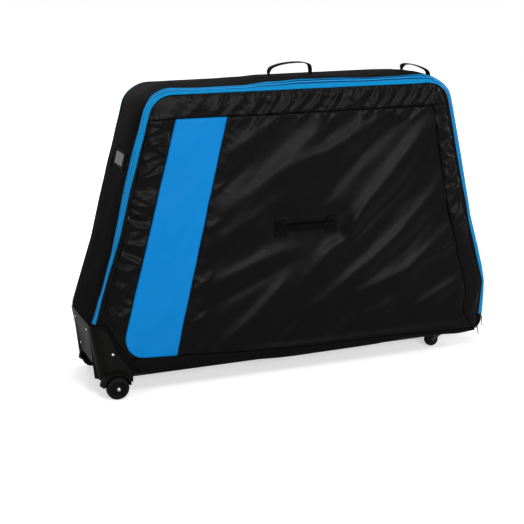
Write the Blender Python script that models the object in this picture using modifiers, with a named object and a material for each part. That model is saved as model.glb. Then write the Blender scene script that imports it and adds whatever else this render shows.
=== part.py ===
# Soft travel case for one bicycle.
# Padded fabric walls stand on a moulded base. Two fixed wheels sit in a moulded corner housing
# at the left end, two casters carry the right end, the front panel unzips on three sides and
# folds down on its lower edge, and a rail inside carries a fork mount and a frame cradle.
# X runs along the case, Y from the front panel to the back, Z up, with the floor at Z = 0.

import bpy
import bmesh
from math import atan2, ceil, cos, pi, radians, sin, tan
from mathutils import Matrix, Vector

# Clearances and stock sizes
GAP = 0.0003
CLOTH = 0.0014
FOAM = 0.010
BINDING = 0.003
WEBBING = 0.0024
ARC_STEP = radians(11)
EDGE_STEPS = 6

# Side view of the body: half lengths, heights and corner radii
BASE_UNDERSIDE = 0.050
BASE_PLATE = 0.006
BODY_TOP = 0.848
FOOT_RIGHT = 0.613
FOOT_LEFT = 0.600
WAIST_HALF = 0.626
WAIST_HEIGHT = 0.212
KNEE_HALF = 0.5615
KNEE_HEIGHT = 0.407
SHOULDER_HALF = 0.4515
FOOT_RADIUS = 0.030
WAIST_RADIUS = 0.060
KNEE_RADIUS = 0.150
SHOULDER_RADIUS = 0.090

# Depth of the body and the radius of its front and back edges
BODY_DEPTH = 0.244
EDGE_RADIUS = 0.024
GUSSET_SEAM = 0.335

# Moulded rim of the base, inside the walls
RIM_HEIGHT = 0.025
RIM_WALL = 0.003

# Stiffening boards inside the two ends
BOARD = 0.002
BOARD_LOW = 0.095
BOARD_HIGH = 0.700

# Zip along the front edge
COIL_RADIUS = 0.0009
ZIP_END_HEIGHT = 0.100

# Zip sliders and pullers
SLIDER_LENGTH = 0.010
SLIDER_WIDTH = 0.0080
SLIDER_THICK = 0.0030
SLIDER_PARKED = 0.0915
LOWER_SLIDER_TURN = radians(32)
PIN_RADIUS = 0.0008
SLIDER_EAR = 0.0011
PULLER_WIDTH = 0.0026
PULLER_EYE = 0.0020
UPPER_PULLER_LENGTH = 0.030
LOWER_PULLER_LENGTH = 0.021

# Front panel: the cut beside the corner housing, as insets from the left end
CUT_ABOVE_HOUSING = 0.0085
CUT_TOP_INSET = 0.042
CUT_MIDDLE_INSET = 0.095
CUT_MIDDLE_RISE = 0.028
CUT_FOOT_INSET = 0.114
CUT_RADIUS = 0.018

# Front panel: seams and the coloured strip, as insets from the ends, the top and the base
TOP_SEAM_DROP = 0.088
BOTTOM_SEAM_LEFT_RISE = 0.050
BOTTOM_SEAM_RIGHT_RISE = 0.020
RIGHT_SEAM_HIGH_INSET = 0.0435
RIGHT_SEAM_LOW_INSET = 0.054
STRIP_RISE = 0.001
STRIP_INSET = 0.077
STRIP_WIDTH_HIGH = 0.1455
STRIP_WIDTH_LOW = 0.165
STRIP_CORNER = 0.050
STRIP_THICK = 0.0010

# Grip on the front panel
GRIP_HEIGHT = 0.434
GRIP_CENTRE = 0.0085
GRIP_PATCH_WIDTH = 0.035
GRIP_PATCH_HEIGHT = 0.046
GRIP_PATCH_SPACING = 0.158
GRIP_RADIUS = 0.0095
GRIP_TAB_RADIUS = 0.0030
GRIP_STAND_OFF = 0.014
GRIP_SAG = 0.008

# Corner housing of the rear wheels
HOUSING_WALL = 0.0035
HOUSING_BELOW_WAIST = 0.007
HOUSING_FLOOR_DROP = 0.0045
RIDGE_PLACE = 0.086
RIDGE_HALF_WIDTH = 0.010
RIDGE_HEIGHT = 0.009
RIDGE_DROP = 0.015
CHEEK_REACH = 0.088
FOOT_WINDOW_HALF = 0.076
FOOT_WINDOW_SPLAY = 0.009
FOOT_WINDOW_RADIUS = 0.018
FOOT_WINDOW_DEPTH = 0.045

# Rear wheels
WHEEL_RADIUS = 0.032
WHEEL_WIDTH = 0.024
WHEEL_X = -0.5625
WHEEL_TRACK = 0.291
TYRE_DEPTH = 0.0095
TYRE_CROWN = 0.0030
HUB_RECESS = 0.0040
AXLE_FLANGE = 0.0022
AXLE_RADIUS = 0.0040
AXLE_CLEARANCE = 0.0003
FENDER_CLEARANCE = 0.0042
FENDER_WALL = 0.0033
FENDER_FLARE = 0.0065
FENDER_REACH = 0.027
EAR_WALL = 0.006
EAR_RADIUS = 0.016
EAR_ROOT = 0.0272

# Casters
CASTER_X = 0.495
CASTER_Y = 0.069
CASTER_TRAIL = 0.0305
CASTER_WHEEL_RADIUS = 0.0215
CASTER_WHEEL_WIDTH = 0.018
CASTER_PLATE = 0.0026
CASTER_PLATE_LENGTH = 0.052
CASTER_PLATE_WIDTH = 0.044
FORK_WALL = 0.0022
FORK_SIDE_GAP = 0.0008
KINGPIN_RADIUS = 0.0032
KINGPIN_HEAD = 0.0052
KINGPIN_HEAD_LENGTH = 0.0016
CROWN_LEFT = 0.014
CROWN_RIGHT = 0.013
FORK_FOOT_RADIUS = 0.0062
CASTER_TREAD_EDGE = 0.0035
CASTER_AXLE_HEAD = 0.0014
PLATE_BEVEL = 0.0006
CASTER_AXLE_RADIUS = 0.0026

# Webbing handles on the top and on the right shoulder
HANDLE_WIDTH = 0.026
HANDLE_FOOT_RADIUS = 0.0040
HANDLE_TAPER = 0.012
HANDLE_CORNER = 0.010
HANDLE_BOW_RADIUS = 0.060
TOP_HANDLE_LEFT = -0.057
TOP_HANDLE_RIGHT = 0.071
TOP_HANDLE_RISE = 0.030
TOP_HANDLE_BOW = 0.0034
TOP_STRIP_LEFT = -0.095
TOP_STRIP_RIGHT = 0.107
CORNER_HANDLE_START = 0.369
CORNER_HANDLE_END = 0.4530
CORNER_HANDLE_RISE = 0.021
CORNER_HANDLE_BOW = 0.0080
STRIP_OVERLAP = 0.012

# Address window on the left end
ADDRESS_HEIGHT = 0.637
ADDRESS_Y = 0.018
ADDRESS_LENGTH = 0.052
ADDRESS_WIDTH = 0.062
ADDRESS_THICK = 0.0030
ADDRESS_BORDER = 0.012
WINDOW_THICK = 0.0010
WINDOW_LIP = 0.004

# Pockets for the wheels of the bicycle
POCKET_LEFT = -0.420
POCKET_RIGHT = 0.260
POCKET_LOW = 0.100
POCKET_HIGH = 0.760
POCKET_DEPTH = 0.016
POCKET_SHEET = 0.0016

# Rail and the stand on it
RAIL_LEFT = -0.420
RAIL_RIGHT = 0.440
RAIL_WIDTH = 0.032
RAIL_HEIGHT = 0.018
RAIL_SLOT = 0.010
RAIL_LIP = 0.003
CARRIAGE_WALL = 0.004
CARRIAGE_LENGTH = 0.060
FORK_MOUNT_X = 0.355
FORK_MOUNT_HEIGHT = 0.172
FORK_TUBE_RADIUS = 0.009
FORK_TUBE_LENGTH = 0.100
SKEWER_RADIUS = 0.0025
SKEWER_NUT_RADIUS = 0.008
SKEWER_NUT_LENGTH = 0.008
SKEWER_HEAD_LENGTH = 0.004
LEVER_LENGTH = 0.044
LEVER_THICK = 0.005
LEVER_WIDTH = 0.011
CRADLE_X = -0.085
CRADLE_HEIGHT = 0.250
CRADLE_HALF_WIDTH = 0.034
CRADLE_LENGTH = 0.056
CRADLE_PAD = 0.006
CRADLE_DIP = 0.0036
CRADLE_POST = 0.012
CRADLE_STRAP_RISE = 0.050

# Places that follow from the sizes above
FRONT = -BODY_DEPTH / 2
BACK = BODY_DEPTH / 2
EDGE_START = BODY_DEPTH / 2 - EDGE_RADIUS
BASE_TOP = BASE_UNDERSIDE + BASE_PLATE
HINGE_HEIGHT = BASE_TOP + GAP
CORE_FRONT = FRONT + CLOTH + GAP
COIL_TURN = (COIL_RADIUS + GAP / 2) / EDGE_RADIUS
TAPE_STOP = (2 * COIL_RADIUS + 1.5 * GAP) / EDGE_RADIUS
HALF_CORNER = pi / 4
HOUSING_TOP = WAIST_HEIGHT - HOUSING_BELOW_WAIST
HOUSING_BOTTOM = BASE_UNDERSIDE - HOUSING_FLOOR_DROP
HOUSING_HEIGHT = HOUSING_TOP - HOUSING_BOTTOM
PANEL_CUT_TOP = HOUSING_TOP + CUT_ABOVE_HOUSING
CUT_TOP_X = WAIST_HALF - CUT_TOP_INSET
CUT_MIDDLE_X = FOOT_LEFT - CUT_MIDDLE_INSET
CUT_MIDDLE_HEIGHT = BASE_UNDERSIDE + CUT_MIDDLE_RISE
CUT_FOOT_X = FOOT_LEFT - CUT_FOOT_INSET
TOP_SEAM = BODY_TOP - TOP_SEAM_DROP
BOTTOM_SEAM_LEFT = BASE_UNDERSIDE + BOTTOM_SEAM_LEFT_RISE
BOTTOM_SEAM_RIGHT = BASE_UNDERSIDE + BOTTOM_SEAM_RIGHT_RISE
RIGHT_SEAM_HIGH = SHOULDER_HALF - RIGHT_SEAM_HIGH_INSET
RIGHT_SEAM_LOW = WAIST_HALF - RIGHT_SEAM_LOW_INSET
STRIP_LOW = BOTTOM_SEAM_LEFT + STRIP_RISE
STRIP_LEFT_HIGH = SHOULDER_HALF - STRIP_INSET
STRIP_LEFT_LOW = WAIST_HALF - STRIP_INSET
STRIP_RIGHT_HIGH = STRIP_LEFT_HIGH - STRIP_WIDTH_HIGH
STRIP_RIGHT_LOW = STRIP_LEFT_LOW - STRIP_WIDTH_LOW

# Slant of the housing's front edge: share of its height, then inset from the end as a share of the reach
CHEEK_SLANT = (
    (0.0, 0.9921), (0.1285, 0.9952), (0.2665, 0.7966), (0.4671, 0.6163), (0.6614, 0.4910),
    (0.8495, 0.3980), (0.9373, 0.3213), (1.0, 0.2531))
# Heights of the housing's loft, as shares of its height
HOUSING_LEVELS = (0.0, 0.0658, 0.1285, 0.1975, 0.2665, 0.3668, 0.4671, 0.6614, 0.8495, 0.9373, 1.0)


for old in list(bpy.data.objects):
    bpy.data.objects.remove(old)

case_collection = bpy.data.collections.new("bike_travel_case")
cutter_collection = bpy.data.collections.new("cutters")
for new_collection in (case_collection, cutter_collection):
    bpy.context.scene.collection.children.link(new_collection)


def finish(name, colour, roughness, metallic=0.0):
    material = bpy.data.materials.new(name)
    material.use_nodes = True
    shader = material.node_tree.nodes["Principled BSDF"]
    shader.inputs["Base Color"].default_value = (*colour, 1.0)
    shader.inputs["Roughness"].default_value = roughness
    shader.inputs["Metallic"].default_value = metallic
    return material


BLACK_CLOTH = finish("black_cloth", (0.012, 0.012, 0.013), 0.55)
PANEL_CLOTH = finish("panel_cloth", (0.010, 0.010, 0.011), 0.38)
BLUE_CLOTH = finish("blue_cloth", (0.010, 0.215, 0.640), 0.50)
BLUE_TAPE = finish("blue_tape", (0.012, 0.190, 0.560), 0.60)
BLACK_WEBBING = finish("black_webbing", (0.010, 0.010, 0.010), 0.80)
HOUSING_PLASTIC = finish("housing_plastic", (0.014, 0.014, 0.013), 0.45)
BASE_PLASTIC = finish("base_plastic", (0.015, 0.015, 0.015), 0.55)
TYRE_RUBBER = finish("tyre_rubber", (0.012, 0.012, 0.012), 0.70)
STEEL = finish("steel", (0.600, 0.600, 0.610), 0.30, 1.0)
ALUMINIUM = finish("aluminium", (0.700, 0.700, 0.720), 0.35, 1.0)
WINDOW_FILM = finish("window_film", (0.230, 0.240, 0.250), 0.25)
PAD_RUBBER = finish("pad_rubber", (0.015, 0.015, 0.015), 0.75)
FOAM_BOARD = finish("foam_board", (0.060, 0.060, 0.065), 0.90)
MESH_POCKET = finish("mesh_pocket", (0.030, 0.030, 0.032), 0.85)


def add_object(name, data, material, collection=None):
    item = bpy.data.objects.new(name, data)
    (collection or case_collection).objects.link(item)
    if material:
        data.materials.clear()
        data.materials.append(material)
    return item


def as_mesh(item, material):
    # The evaluated shape of a curve object as a mesh object in world space, caps welded on.
    bpy.context.view_layer.update()
    depsgraph = bpy.context.evaluated_depsgraph_get()
    mesh = bpy.data.meshes.new_from_object(item.evaluated_get(depsgraph))
    mesh.transform(item.matrix_world)
    name = item.name
    bpy.data.objects.remove(item)
    shape = bmesh.new()
    shape.from_mesh(mesh)
    bmesh.ops.remove_doubles(shape, verts=shape.verts, dist=0.00001)
    bmesh.ops.recalc_face_normals(shape, faces=shape.faces)
    shape.to_mesh(mesh)
    shape.free()
    return add_object(name, mesh, material)


def from_bmesh(name, shape, material):
    mesh = bpy.data.meshes.new(name)
    bmesh.ops.recalc_face_normals(shape, faces=shape.faces)
    shape.to_mesh(mesh)
    shape.free()
    return add_object(name, mesh, material)


def smooth(item, angle=35):
    item.data.shade_smooth()
    item.data.set_sharp_from_angle(angle=radians(angle))
    return item


def turned_to(item, matrix):
    item.data.transform(matrix)
    return item


def settle(item, pivot, parent=None):
    # Puts the object's origin on its joint's axis and hangs it under its parent.
    pivot = Vector(pivot)
    item.data.transform(Matrix.Translation(-pivot))
    base = Vector(parent["place"]) if parent else Vector((0, 0, 0))
    item.location = pivot - base
    item.parent = parent
    return item


def joint_empty(name, place, parent=None):
    empty = bpy.data.objects.new(name, None)
    case_collection.objects.link(empty)
    empty.empty_display_size = 0.03
    empty["place"] = list(place)
    base = Vector(parent["place"]) if parent else Vector((0, 0, 0))
    empty.location = Vector(place) - base
    empty.parent = parent
    return empty


def combine(item, other, operation, solver="EXACT"):
    # Boolean with a helper shape that stays hidden in the cutters' collection.
    for collection in list(other.users_collection):
        collection.objects.unlink(other)
    cutter_collection.objects.link(other)
    other.hide_render = True
    other.display_type = "WIRE"
    change = item.modifiers.new(f"{operation.lower()}_{other.name}", "BOOLEAN")
    change.operation = operation
    change.solver = solver
    change.object = other
    return item


def box(name, low, high, material):
    low, high = Vector(low), Vector(high)
    shape = bmesh.new()
    bmesh.ops.create_cube(shape, size=1.0)
    bmesh.ops.scale(shape, vec=high - low, verts=shape.verts)
    bmesh.ops.translate(shape, vec=(low + high) / 2, verts=shape.verts)
    return from_bmesh(name, shape, material)


def bevelled(item, width, segments=2):
    edge = item.modifiers.new("edge", "BEVEL")
    edge.width = width
    edge.segments = segments
    edge.limit_method = "ANGLE"
    edge.angle_limit = radians(40)
    return item


def rod(name, start, end, radius, material, sides=20, end_radius=None):
    # A cylinder or cone between two points.
    start, end = Vector(start), Vector(end)
    along = end - start
    shape = bmesh.new()
    bmesh.ops.create_cone(
        shape, cap_ends=True, segments=sides, radius1=radius,
        radius2=radius if end_radius is None else end_radius, depth=along.length)
    turn = Vector((0, 0, 1)).rotation_difference(along.normalized()).to_matrix().to_4x4()
    bmesh.ops.transform(shape, matrix=Matrix.Translation((start + end) / 2) @ turn, verts=shape.verts)
    return smooth(from_bmesh(name, shape, material))


def turned(name, profile, centre, material, steps=36):
    # A closed profile of radius and height turned about the Y axis through the centre.
    mesh = bpy.data.meshes.new(name)
    points = [(radius, 0.0, height) for radius, height in profile]
    edges = [(index, (index + 1) % len(points)) for index in range(len(points))]
    mesh.from_pydata(points, edges, [])
    item = add_object(name, mesh, material)
    screw = item.modifiers.new("turn", "SCREW")
    screw.steps = steps
    screw.render_steps = steps
    screw.use_merge_vertices = True
    screw.merge_threshold = 0.00001
    item = as_mesh(item, material)
    item.data.transform(Matrix.Translation(centre) @ Matrix.Rotation(pi / 2, 4, "X"))
    return smooth(item)


def outline_curve(name, points):
    curve = bpy.data.curves.new(name, "CURVE")
    curve.dimensions = "2D"
    curve.fill_mode = "BOTH"
    add_loop(curve, points)
    return curve


def add_loop(curve, points):
    spline = curve.splines.new("POLY")
    spline.points.add(len(points) - 1)
    for knot, (across, up) in zip(spline.points, points):
        knot.co = (across, up, 0, 1)
    spline.use_cyclic_u = True


def plate(name, points, front, thickness, material, holes=()):
    # A flat outline in X and Z, extruded from its front face towards the back.
    curve = outline_curve(name, points)
    for hole in holes:
        add_loop(curve, hole)
    curve.extrude = thickness / 2
    item = add_object(name, curve, material)
    item.matrix_world = (
        Matrix.Translation((0, front + thickness / 2, 0)) @ Matrix.Rotation(pi / 2, 4, "X"))
    return as_mesh(item, material)


def slab(name, points, low, thickness, material):
    # A flat outline in X and Y, extruded upwards from its underside.
    curve = outline_curve(name, points)
    curve.extrude = thickness / 2
    item = add_object(name, curve, material)
    item.location.z = low + thickness / 2
    return as_mesh(item, material)


def sweep(name, path, section, material):
    # A loft that carries a closed section of inset and Y along stations of the side view.
    shape = bmesh.new()
    rings = []
    for point, inward in path:
        rings.append([
            shape.verts.new((point.x + inward.x * inset, depth, point.y + inward.y * inset))
            for inset, depth in section])
    for ring, following in zip(rings, rings[1:]):
        for index in range(len(section)):
            shape.faces.new((ring[index - 1], ring[index], following[index], following[index - 1]))
    shape.faces.new(rings[0])
    shape.faces.new(rings[-1])
    return smooth(from_bmesh(name, shape, material))


def rounded(corners):
    # Stations of a closed outline whose corners are arcs. Each is a point and the inward normal.
    stations = []
    count = len(corners)
    for index, (across, up, radius) in enumerate(corners):
        here = Vector((across, up))
        before = Vector(corners[index - 1][:2])
        after = Vector(corners[(index + 1) % count][:2])
        arrive = (here - before).normalized()
        leave = (after - here).normalized()
        turn = atan2(arrive.x * leave.y - arrive.y * leave.x, arrive.dot(leave))
        side = 1 if turn >= 0 else -1
        left = Vector((-arrive.y, arrive.x))
        start = here - arrive * radius * tan(abs(turn) / 2)
        centre = start + left * radius * side
        steps = max(1, ceil(abs(turn) / ARC_STEP)) if radius > 0 else 0
        for step in range(steps + 1):
            inward = left.copy()
            inward.rotate(Matrix.Rotation(turn * step / steps if steps else turn / 2, 2))
            point = centre - inward * radius * side if radius > 0 else here
            stations.append((point, inward))
    return stations


def body_path():
    # From the lower right corner over the top to the lower left corner, as stations.
    right = [
        (FOOT_RIGHT, BASE_UNDERSIDE, FOOT_RADIUS), (WAIST_HALF, WAIST_HEIGHT, WAIST_RADIUS),
        (KNEE_HALF, KNEE_HEIGHT, KNEE_RADIUS), (SHOULDER_HALF, BODY_TOP, SHOULDER_RADIUS)]
    left = [(-across, up, radius) for across, up, radius in reversed(right[1:])]
    return rounded(right + left + [(-FOOT_LEFT, BASE_UNDERSIDE, FOOT_RADIUS)])


BODY_PATH = body_path()


def crossing(value, axis, side):
    # Distance along the body path where it passes a value of X (0) or Z (1) on one side.
    travelled = 0.0
    found = None
    for (start, _), (end, _) in zip(BODY_PATH, BODY_PATH[1:]):
        length = (end - start).length
        low, high = sorted((start[axis], end[axis]))
        middle = (start.x + end.x) / 2
        on_side = middle * side > 0 or axis == 0
        if length > 0 and low <= value <= high and high > low and on_side:
            share = (value - start[axis]) / (end[axis] - start[axis])
            place = travelled + length * share
            if axis == 1 or start.y > WAIST_HEIGHT:
                found = place if found is None or side < 0 else found
        travelled += length
    return found


def path_length():
    return sum((end - start).length for (start, _), (end, _) in zip(BODY_PATH, BODY_PATH[1:]))


def station_at(distance):
    travelled = 0.0
    for (start, inward), (end, inward_end) in zip(BODY_PATH, BODY_PATH[1:]):
        length = (end - start).length
        if length > 0 and travelled + length >= distance:
            share = max(0.0, (distance - travelled) / length)
            return start.lerp(end, share), inward.lerp(inward_end, share).normalized()
        travelled += length
    return BODY_PATH[-1]


def stretch(begin, finish_at):
    # The part of the body path between two distances.
    picked = [station_at(begin)]
    travelled = 0.0
    for (start, _), (end, inward_end) in zip(BODY_PATH, BODY_PATH[1:]):
        travelled += (end - start).length
        if begin + GAP / 2 < travelled < finish_at - GAP / 2 and (end - start).length > 0:
            picked.append((end, inward_end))
    picked.append(station_at(finish_at))
    return picked


def inset_points(path, inset):
    return [(point.x + inward.x * inset, point.y + inward.y * inset) for point, inward in path]


PATH_END = path_length()
BASE_RIGHT = BODY_PATH[0][0].x
BASE_LEFT = BODY_PATH[-1][0].x


def half_width(height):
    # Half length of the left end at a height above the lower corner's arc.
    point, _ = station_at(crossing(height, 1, -1))
    return -point.x


def edge_section(side, begin, stop, thickness):
    # Section of a binding on the rounded edge, between two angles, front (-1) or back (1).
    steps = max(2, ceil((stop - begin) / (pi / 2) * EDGE_STEPS))
    angles = [begin + (stop - begin) * step / steps for step in range(steps + 1)]
    outer = [edge_point(side, angle, 0.0) for angle in angles]
    inner = [edge_point(side, angle, thickness) for angle in reversed(angles)]
    return outer + inner


def edge_point(side, angle, depth):
    reach = EDGE_RADIUS - depth
    return EDGE_RADIUS - reach * cos(angle), side * (EDGE_START + reach * sin(angle))


def clipped(points, start, end):
    # The part of an outline to the left of the line from start to end.
    kept = []
    line = Vector(end) - Vector(start)

    def side_of(point):
        offset = Vector(point) - Vector(start)
        return line.x * offset.y - line.y * offset.x

    for index, here in enumerate(points):
        before = points[index - 1]
        here_side, before_side = side_of(here), side_of(before)
        if (here_side > 0) != (before_side > 0):
            share = before_side / (before_side - here_side)
            kept.append(tuple(Vector(before).lerp(Vector(here), share)))
        if here_side > 0:
            kept.append(tuple(here))
    return kept


def base():
    tray = box(
        "base_tray", (BASE_LEFT + GAP, FRONT, BASE_UNDERSIDE), (BASE_RIGHT - GAP, BACK, BASE_TOP),
        BASE_PLASTIC)
    rim_back = BACK - FOAM - GAP
    rim_front = FRONT + CLOTH + FOAM + POCKET_DEPTH + 3 * GAP
    rim_top = BASE_TOP + RIM_HEIGHT
    rims = {
        "rim_back": ((BASE_LEFT + GAP, rim_back - RIM_WALL), (BASE_RIGHT - GAP, rim_back)),
        "rim_left": ((BASE_LEFT + GAP, rim_front), (BASE_LEFT + GAP + RIM_WALL, rim_back)),
        "rim_right": ((BASE_RIGHT - GAP - RIM_WALL, rim_front), (BASE_RIGHT - GAP, rim_back))}
    for name, (low, high) in rims.items():
        rim = box(name, (*low, BASE_TOP - RIM_WALL), (*high, rim_top), BASE_PLASTIC)
        combine(tray, rim, "UNION")


def walls():
    seam_right = crossing(GUSSET_SEAM, 0, 1)
    seam_left = crossing(-GUSSET_SEAM, 0, -1)
    edge = EDGE_START - GAP
    section = [(0.0, -edge), (0.0, edge), (FOAM, edge), (FOAM, -edge)]
    sweep("gusset_right", stretch(0.0, seam_right - GAP / 2), section, BLACK_CLOTH)
    sweep("gusset_top", stretch(seam_right + GAP / 2, seam_left - GAP / 2), section, BLACK_CLOTH)
    sweep("gusset_left", stretch(seam_left + GAP / 2, PATH_END), section, BLACK_CLOTH)

    inner = inset_points(BODY_PATH, EDGE_RADIUS + GAP)
    back_outline = [(BASE_RIGHT, HINGE_HEIGHT)] + inner + [(BASE_LEFT, HINGE_HEIGHT)]
    plate("back_panel", back_outline, BACK - FOAM, FOAM, BLACK_CLOTH)
    sweep("back_binding", stretch(0.0, PATH_END), edge_section(1, 0.0, pi / 2, BINDING), BLACK_CLOTH)

    board = [
        (FOAM + GAP, -edge), (FOAM + GAP, edge), (FOAM + GAP + BOARD, edge), (FOAM + GAP + BOARD, -edge)]
    sweep(
        "end_board_right", stretch(crossing(BOARD_LOW, 1, 1), crossing(BOARD_HIGH, 1, 1)), board,
        BASE_PLASTIC)
    sweep(
        "end_board_left", stretch(crossing(BOARD_HIGH, 1, -1), crossing(BOARD_LOW, 1, -1)), board,
        BASE_PLASTIC)


def zip_parts(panel_joint):
    begin = crossing(ZIP_END_HEIGHT, 1, 1)
    stop = crossing(PANEL_CUT_TOP, 1, -1)
    path = stretch(begin, stop)
    sweep(
        "zip_tape_case", path, edge_section(-1, 0.0, HALF_CORNER - TAPE_STOP, BINDING), BLUE_TAPE)
    tape = sweep(
        "zip_tape_panel", path, edge_section(-1, HALF_CORNER + TAPE_STOP, pi / 2, BINDING), BLUE_TAPE)
    coil("zip_coil_case", path, HALF_CORNER - COIL_TURN)
    panel_coil = coil("zip_coil_panel", path, HALF_CORNER + COIL_TURN)
    for item in (tape, panel_coil):
        settle(item, panel_joint["place"], panel_joint)
    whole_edge = edge_section(-1, 0.0, pi / 2, BINDING)
    sweep("zip_end_strip", stretch(0.0, begin - GAP), whole_edge, BLACK_WEBBING)
    sweep("corner_binding", stretch(stop + GAP, PATH_END), whole_edge, BLACK_CLOTH)


def coil(name, path, angle):
    centre_inset, centre_y = edge_point(-1, angle, COIL_RADIUS + GAP)
    ring = [
        (centre_inset + COIL_RADIUS * cos(step * pi / 3), centre_y + COIL_RADIUS * sin(step * pi / 3))
        for step in range(6)]
    return sweep(name, path, ring, BLUE_TAPE)


def cut_line(shift):
    # The panel's edge beside the corner housing, from the left edge down to the hinge line.
    corners = [
        (-WAIST_HALF, PANEL_CUT_TOP, 0.0), (-CUT_TOP_X, PANEL_CUT_TOP, CUT_RADIUS),
        (-CUT_MIDDLE_X, CUT_MIDDLE_HEIGHT, CUT_RADIUS), (-CUT_FOOT_X, HINGE_HEIGHT, 0.0)]
    stations = rounded(corners)[1:-1]
    points = [(point.x + shift, point.y + shift) for point, _ in stations]
    return points + [(-CUT_FOOT_X + shift, HINGE_HEIGHT)]


def panel_outline():
    inner = inset_points(stretch(0.0, crossing(PANEL_CUT_TOP, 1, -1)), EDGE_RADIUS + GAP)
    return [(BASE_RIGHT - GAP, HINGE_HEIGHT)] + inner + cut_line(0.0)


def front_panel(panel_joint):
    outline = panel_outline()
    gap = GAP / 2
    top = [(-1, TOP_SEAM + gap), (1, TOP_SEAM + gap)]
    under_top = [(1, TOP_SEAM - gap), (-1, TOP_SEAM - gap)]
    low = [(-STRIP_LEFT_LOW, BOTTOM_SEAM_LEFT), (RIGHT_SEAM_LOW, BOTTOM_SEAM_RIGHT)]
    above_low = [(across, up + gap) for across, up in low]
    below_low = [(across, up - gap) for across, up in reversed(low)]
    seam = [(RIGHT_SEAM_LOW, HINGE_HEIGHT), (RIGHT_SEAM_HIGH, TOP_SEAM)]
    left_of_seam = [(across - gap, up) for across, up in seam]
    right_of_seam = [(across + gap, up) for across, up in reversed(seam)]
    middle = clipped(clipped(outline, *under_top), *above_low)
    pieces = {
        "panel_top_band": (clipped(outline, *top), PANEL_CLOTH),
        "panel_bottom_band": (clipped(outline, *below_low), BLACK_CLOTH),
        "panel_right_band": (clipped(middle, *right_of_seam), PANEL_CLOTH),
        "panel_field": (clipped(middle, *left_of_seam), PANEL_CLOTH)}
    items = [
        plate(name, points, FRONT, CLOTH, material) for name, (points, material) in pieces.items()]
    items.append(plate("panel_core", outline, CORE_FRONT, FOAM, FOAM_BOARD))
    strip = rounded([
        (-STRIP_LEFT_HIGH, TOP_SEAM - gap, 0.0), (-STRIP_LEFT_LOW, STRIP_LOW, STRIP_CORNER),
        (-STRIP_RIGHT_LOW, STRIP_LOW, 0.0), (-STRIP_RIGHT_HIGH, TOP_SEAM - gap, 0.0)])
    strip_points = inset_points(strip, 0.0)
    items.append(plate("blue_strip", strip_points, FRONT - GAP - STRIP_THICK, STRIP_THICK, BLUE_CLOTH))
    items.append(pocket("panel_wheel_pocket", CORE_FRONT + FOAM + GAP, 1))
    for item in items:
        settle(item, panel_joint["place"], panel_joint)
    plate(
        "corner_patch", patch_outline(), FRONT, CLOTH + GAP + FOAM, BLACK_CLOTH)


def patch_outline():
    # The fixed corner of the front between the panel's cut and the housing.
    rest = inset_points(stretch(crossing(PANEL_CUT_TOP, 1, -1) + GAP, PATH_END), EDGE_RADIUS + GAP)
    return rest + [(BASE_LEFT, HINGE_HEIGHT)] + list(reversed(cut_line(-GAP)))


def pocket(name, backing, direction):
    # An open-topped pocket on a panel's inner face. direction is +1 on the front, -1 on the back.
    low_y, high_y = sorted((backing, backing + direction * POCKET_DEPTH))
    item = box(name, (POCKET_LEFT, low_y, POCKET_LOW), (POCKET_RIGHT, high_y, POCKET_HIGH), MESH_POCKET)
    if direction > 0:
        hollow_y = (low_y - FOAM, high_y - POCKET_SHEET)
    else:
        hollow_y = (low_y + POCKET_SHEET, high_y + FOAM)
    hollow = box(
        name + "_hollow", (POCKET_LEFT + POCKET_SHEET, hollow_y[0], POCKET_LOW + POCKET_SHEET),
        (POCKET_RIGHT - POCKET_SHEET, hollow_y[1], POCKET_HIGH + FOAM), None)
    return combine(item, hollow, "DIFFERENCE")


def grip(panel_joint):
    surface = FRONT - GAP - CLOTH
    for name, side in (("grip_patch_left", -1), ("grip_patch_right", 1)):
        centre = GRIP_CENTRE + side * GRIP_PATCH_SPACING / 2
        patch = box(
            name, (centre - GRIP_PATCH_WIDTH / 2, surface, GRIP_HEIGHT - GRIP_PATCH_HEIGHT / 2),
            (centre + GRIP_PATCH_WIDTH / 2, surface + CLOTH, GRIP_HEIGHT + GRIP_PATCH_HEIGHT / 2),
            BLACK_WEBBING)
        settle(patch, panel_joint["place"], panel_joint)
    pivot = (GRIP_CENTRE, surface - GAP - GRIP_TAB_RADIUS, GRIP_HEIGHT)
    grip_joint = joint_empty("grip_joint", pivot, panel_joint)
    reach = GRIP_PATCH_SPACING / 2 + GRIP_PATCH_WIDTH / 4
    inner_edge = GRIP_PATCH_SPACING / 2 - GRIP_PATCH_WIDTH / 2
    knots = [(-reach, 0.0, GRIP_TAB_RADIUS), (-inner_edge, 0.0, GRIP_TAB_RADIUS)]
    steps = 8
    for step in range(1, steps):
        share = step / steps
        bow = sin(pi * share)
        thick = GRIP_TAB_RADIUS + (GRIP_RADIUS - GRIP_TAB_RADIUS) * min(1.0, bow * 1.5)
        knots.append((inner_edge * (2 * share - 1), bow, thick))
    knots += [(inner_edge, 0.0, GRIP_TAB_RADIUS), (reach, 0.0, GRIP_TAB_RADIUS)]
    curve = bpy.data.curves.new("panel_grip", "CURVE")
    curve.dimensions = "3D"
    curve.bevel_depth = GRIP_RADIUS
    curve.bevel_resolution = 2
    curve.use_fill_caps = True
    spline = curve.splines.new("POLY")
    spline.points.add(len(knots) - 1)
    for knot, (across, bow, thick) in zip(spline.points, knots):
        knot.co = (pivot[0] + across, pivot[1] - bow * GRIP_STAND_OFF, pivot[2] - bow * GRIP_SAG, 1)
        knot.radius = thick / GRIP_RADIUS
    item = smooth(as_mesh(add_object("panel_grip", curve, BLACK_WEBBING), BLACK_WEBBING), 60)
    settle(item, pivot, grip_joint)


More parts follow.
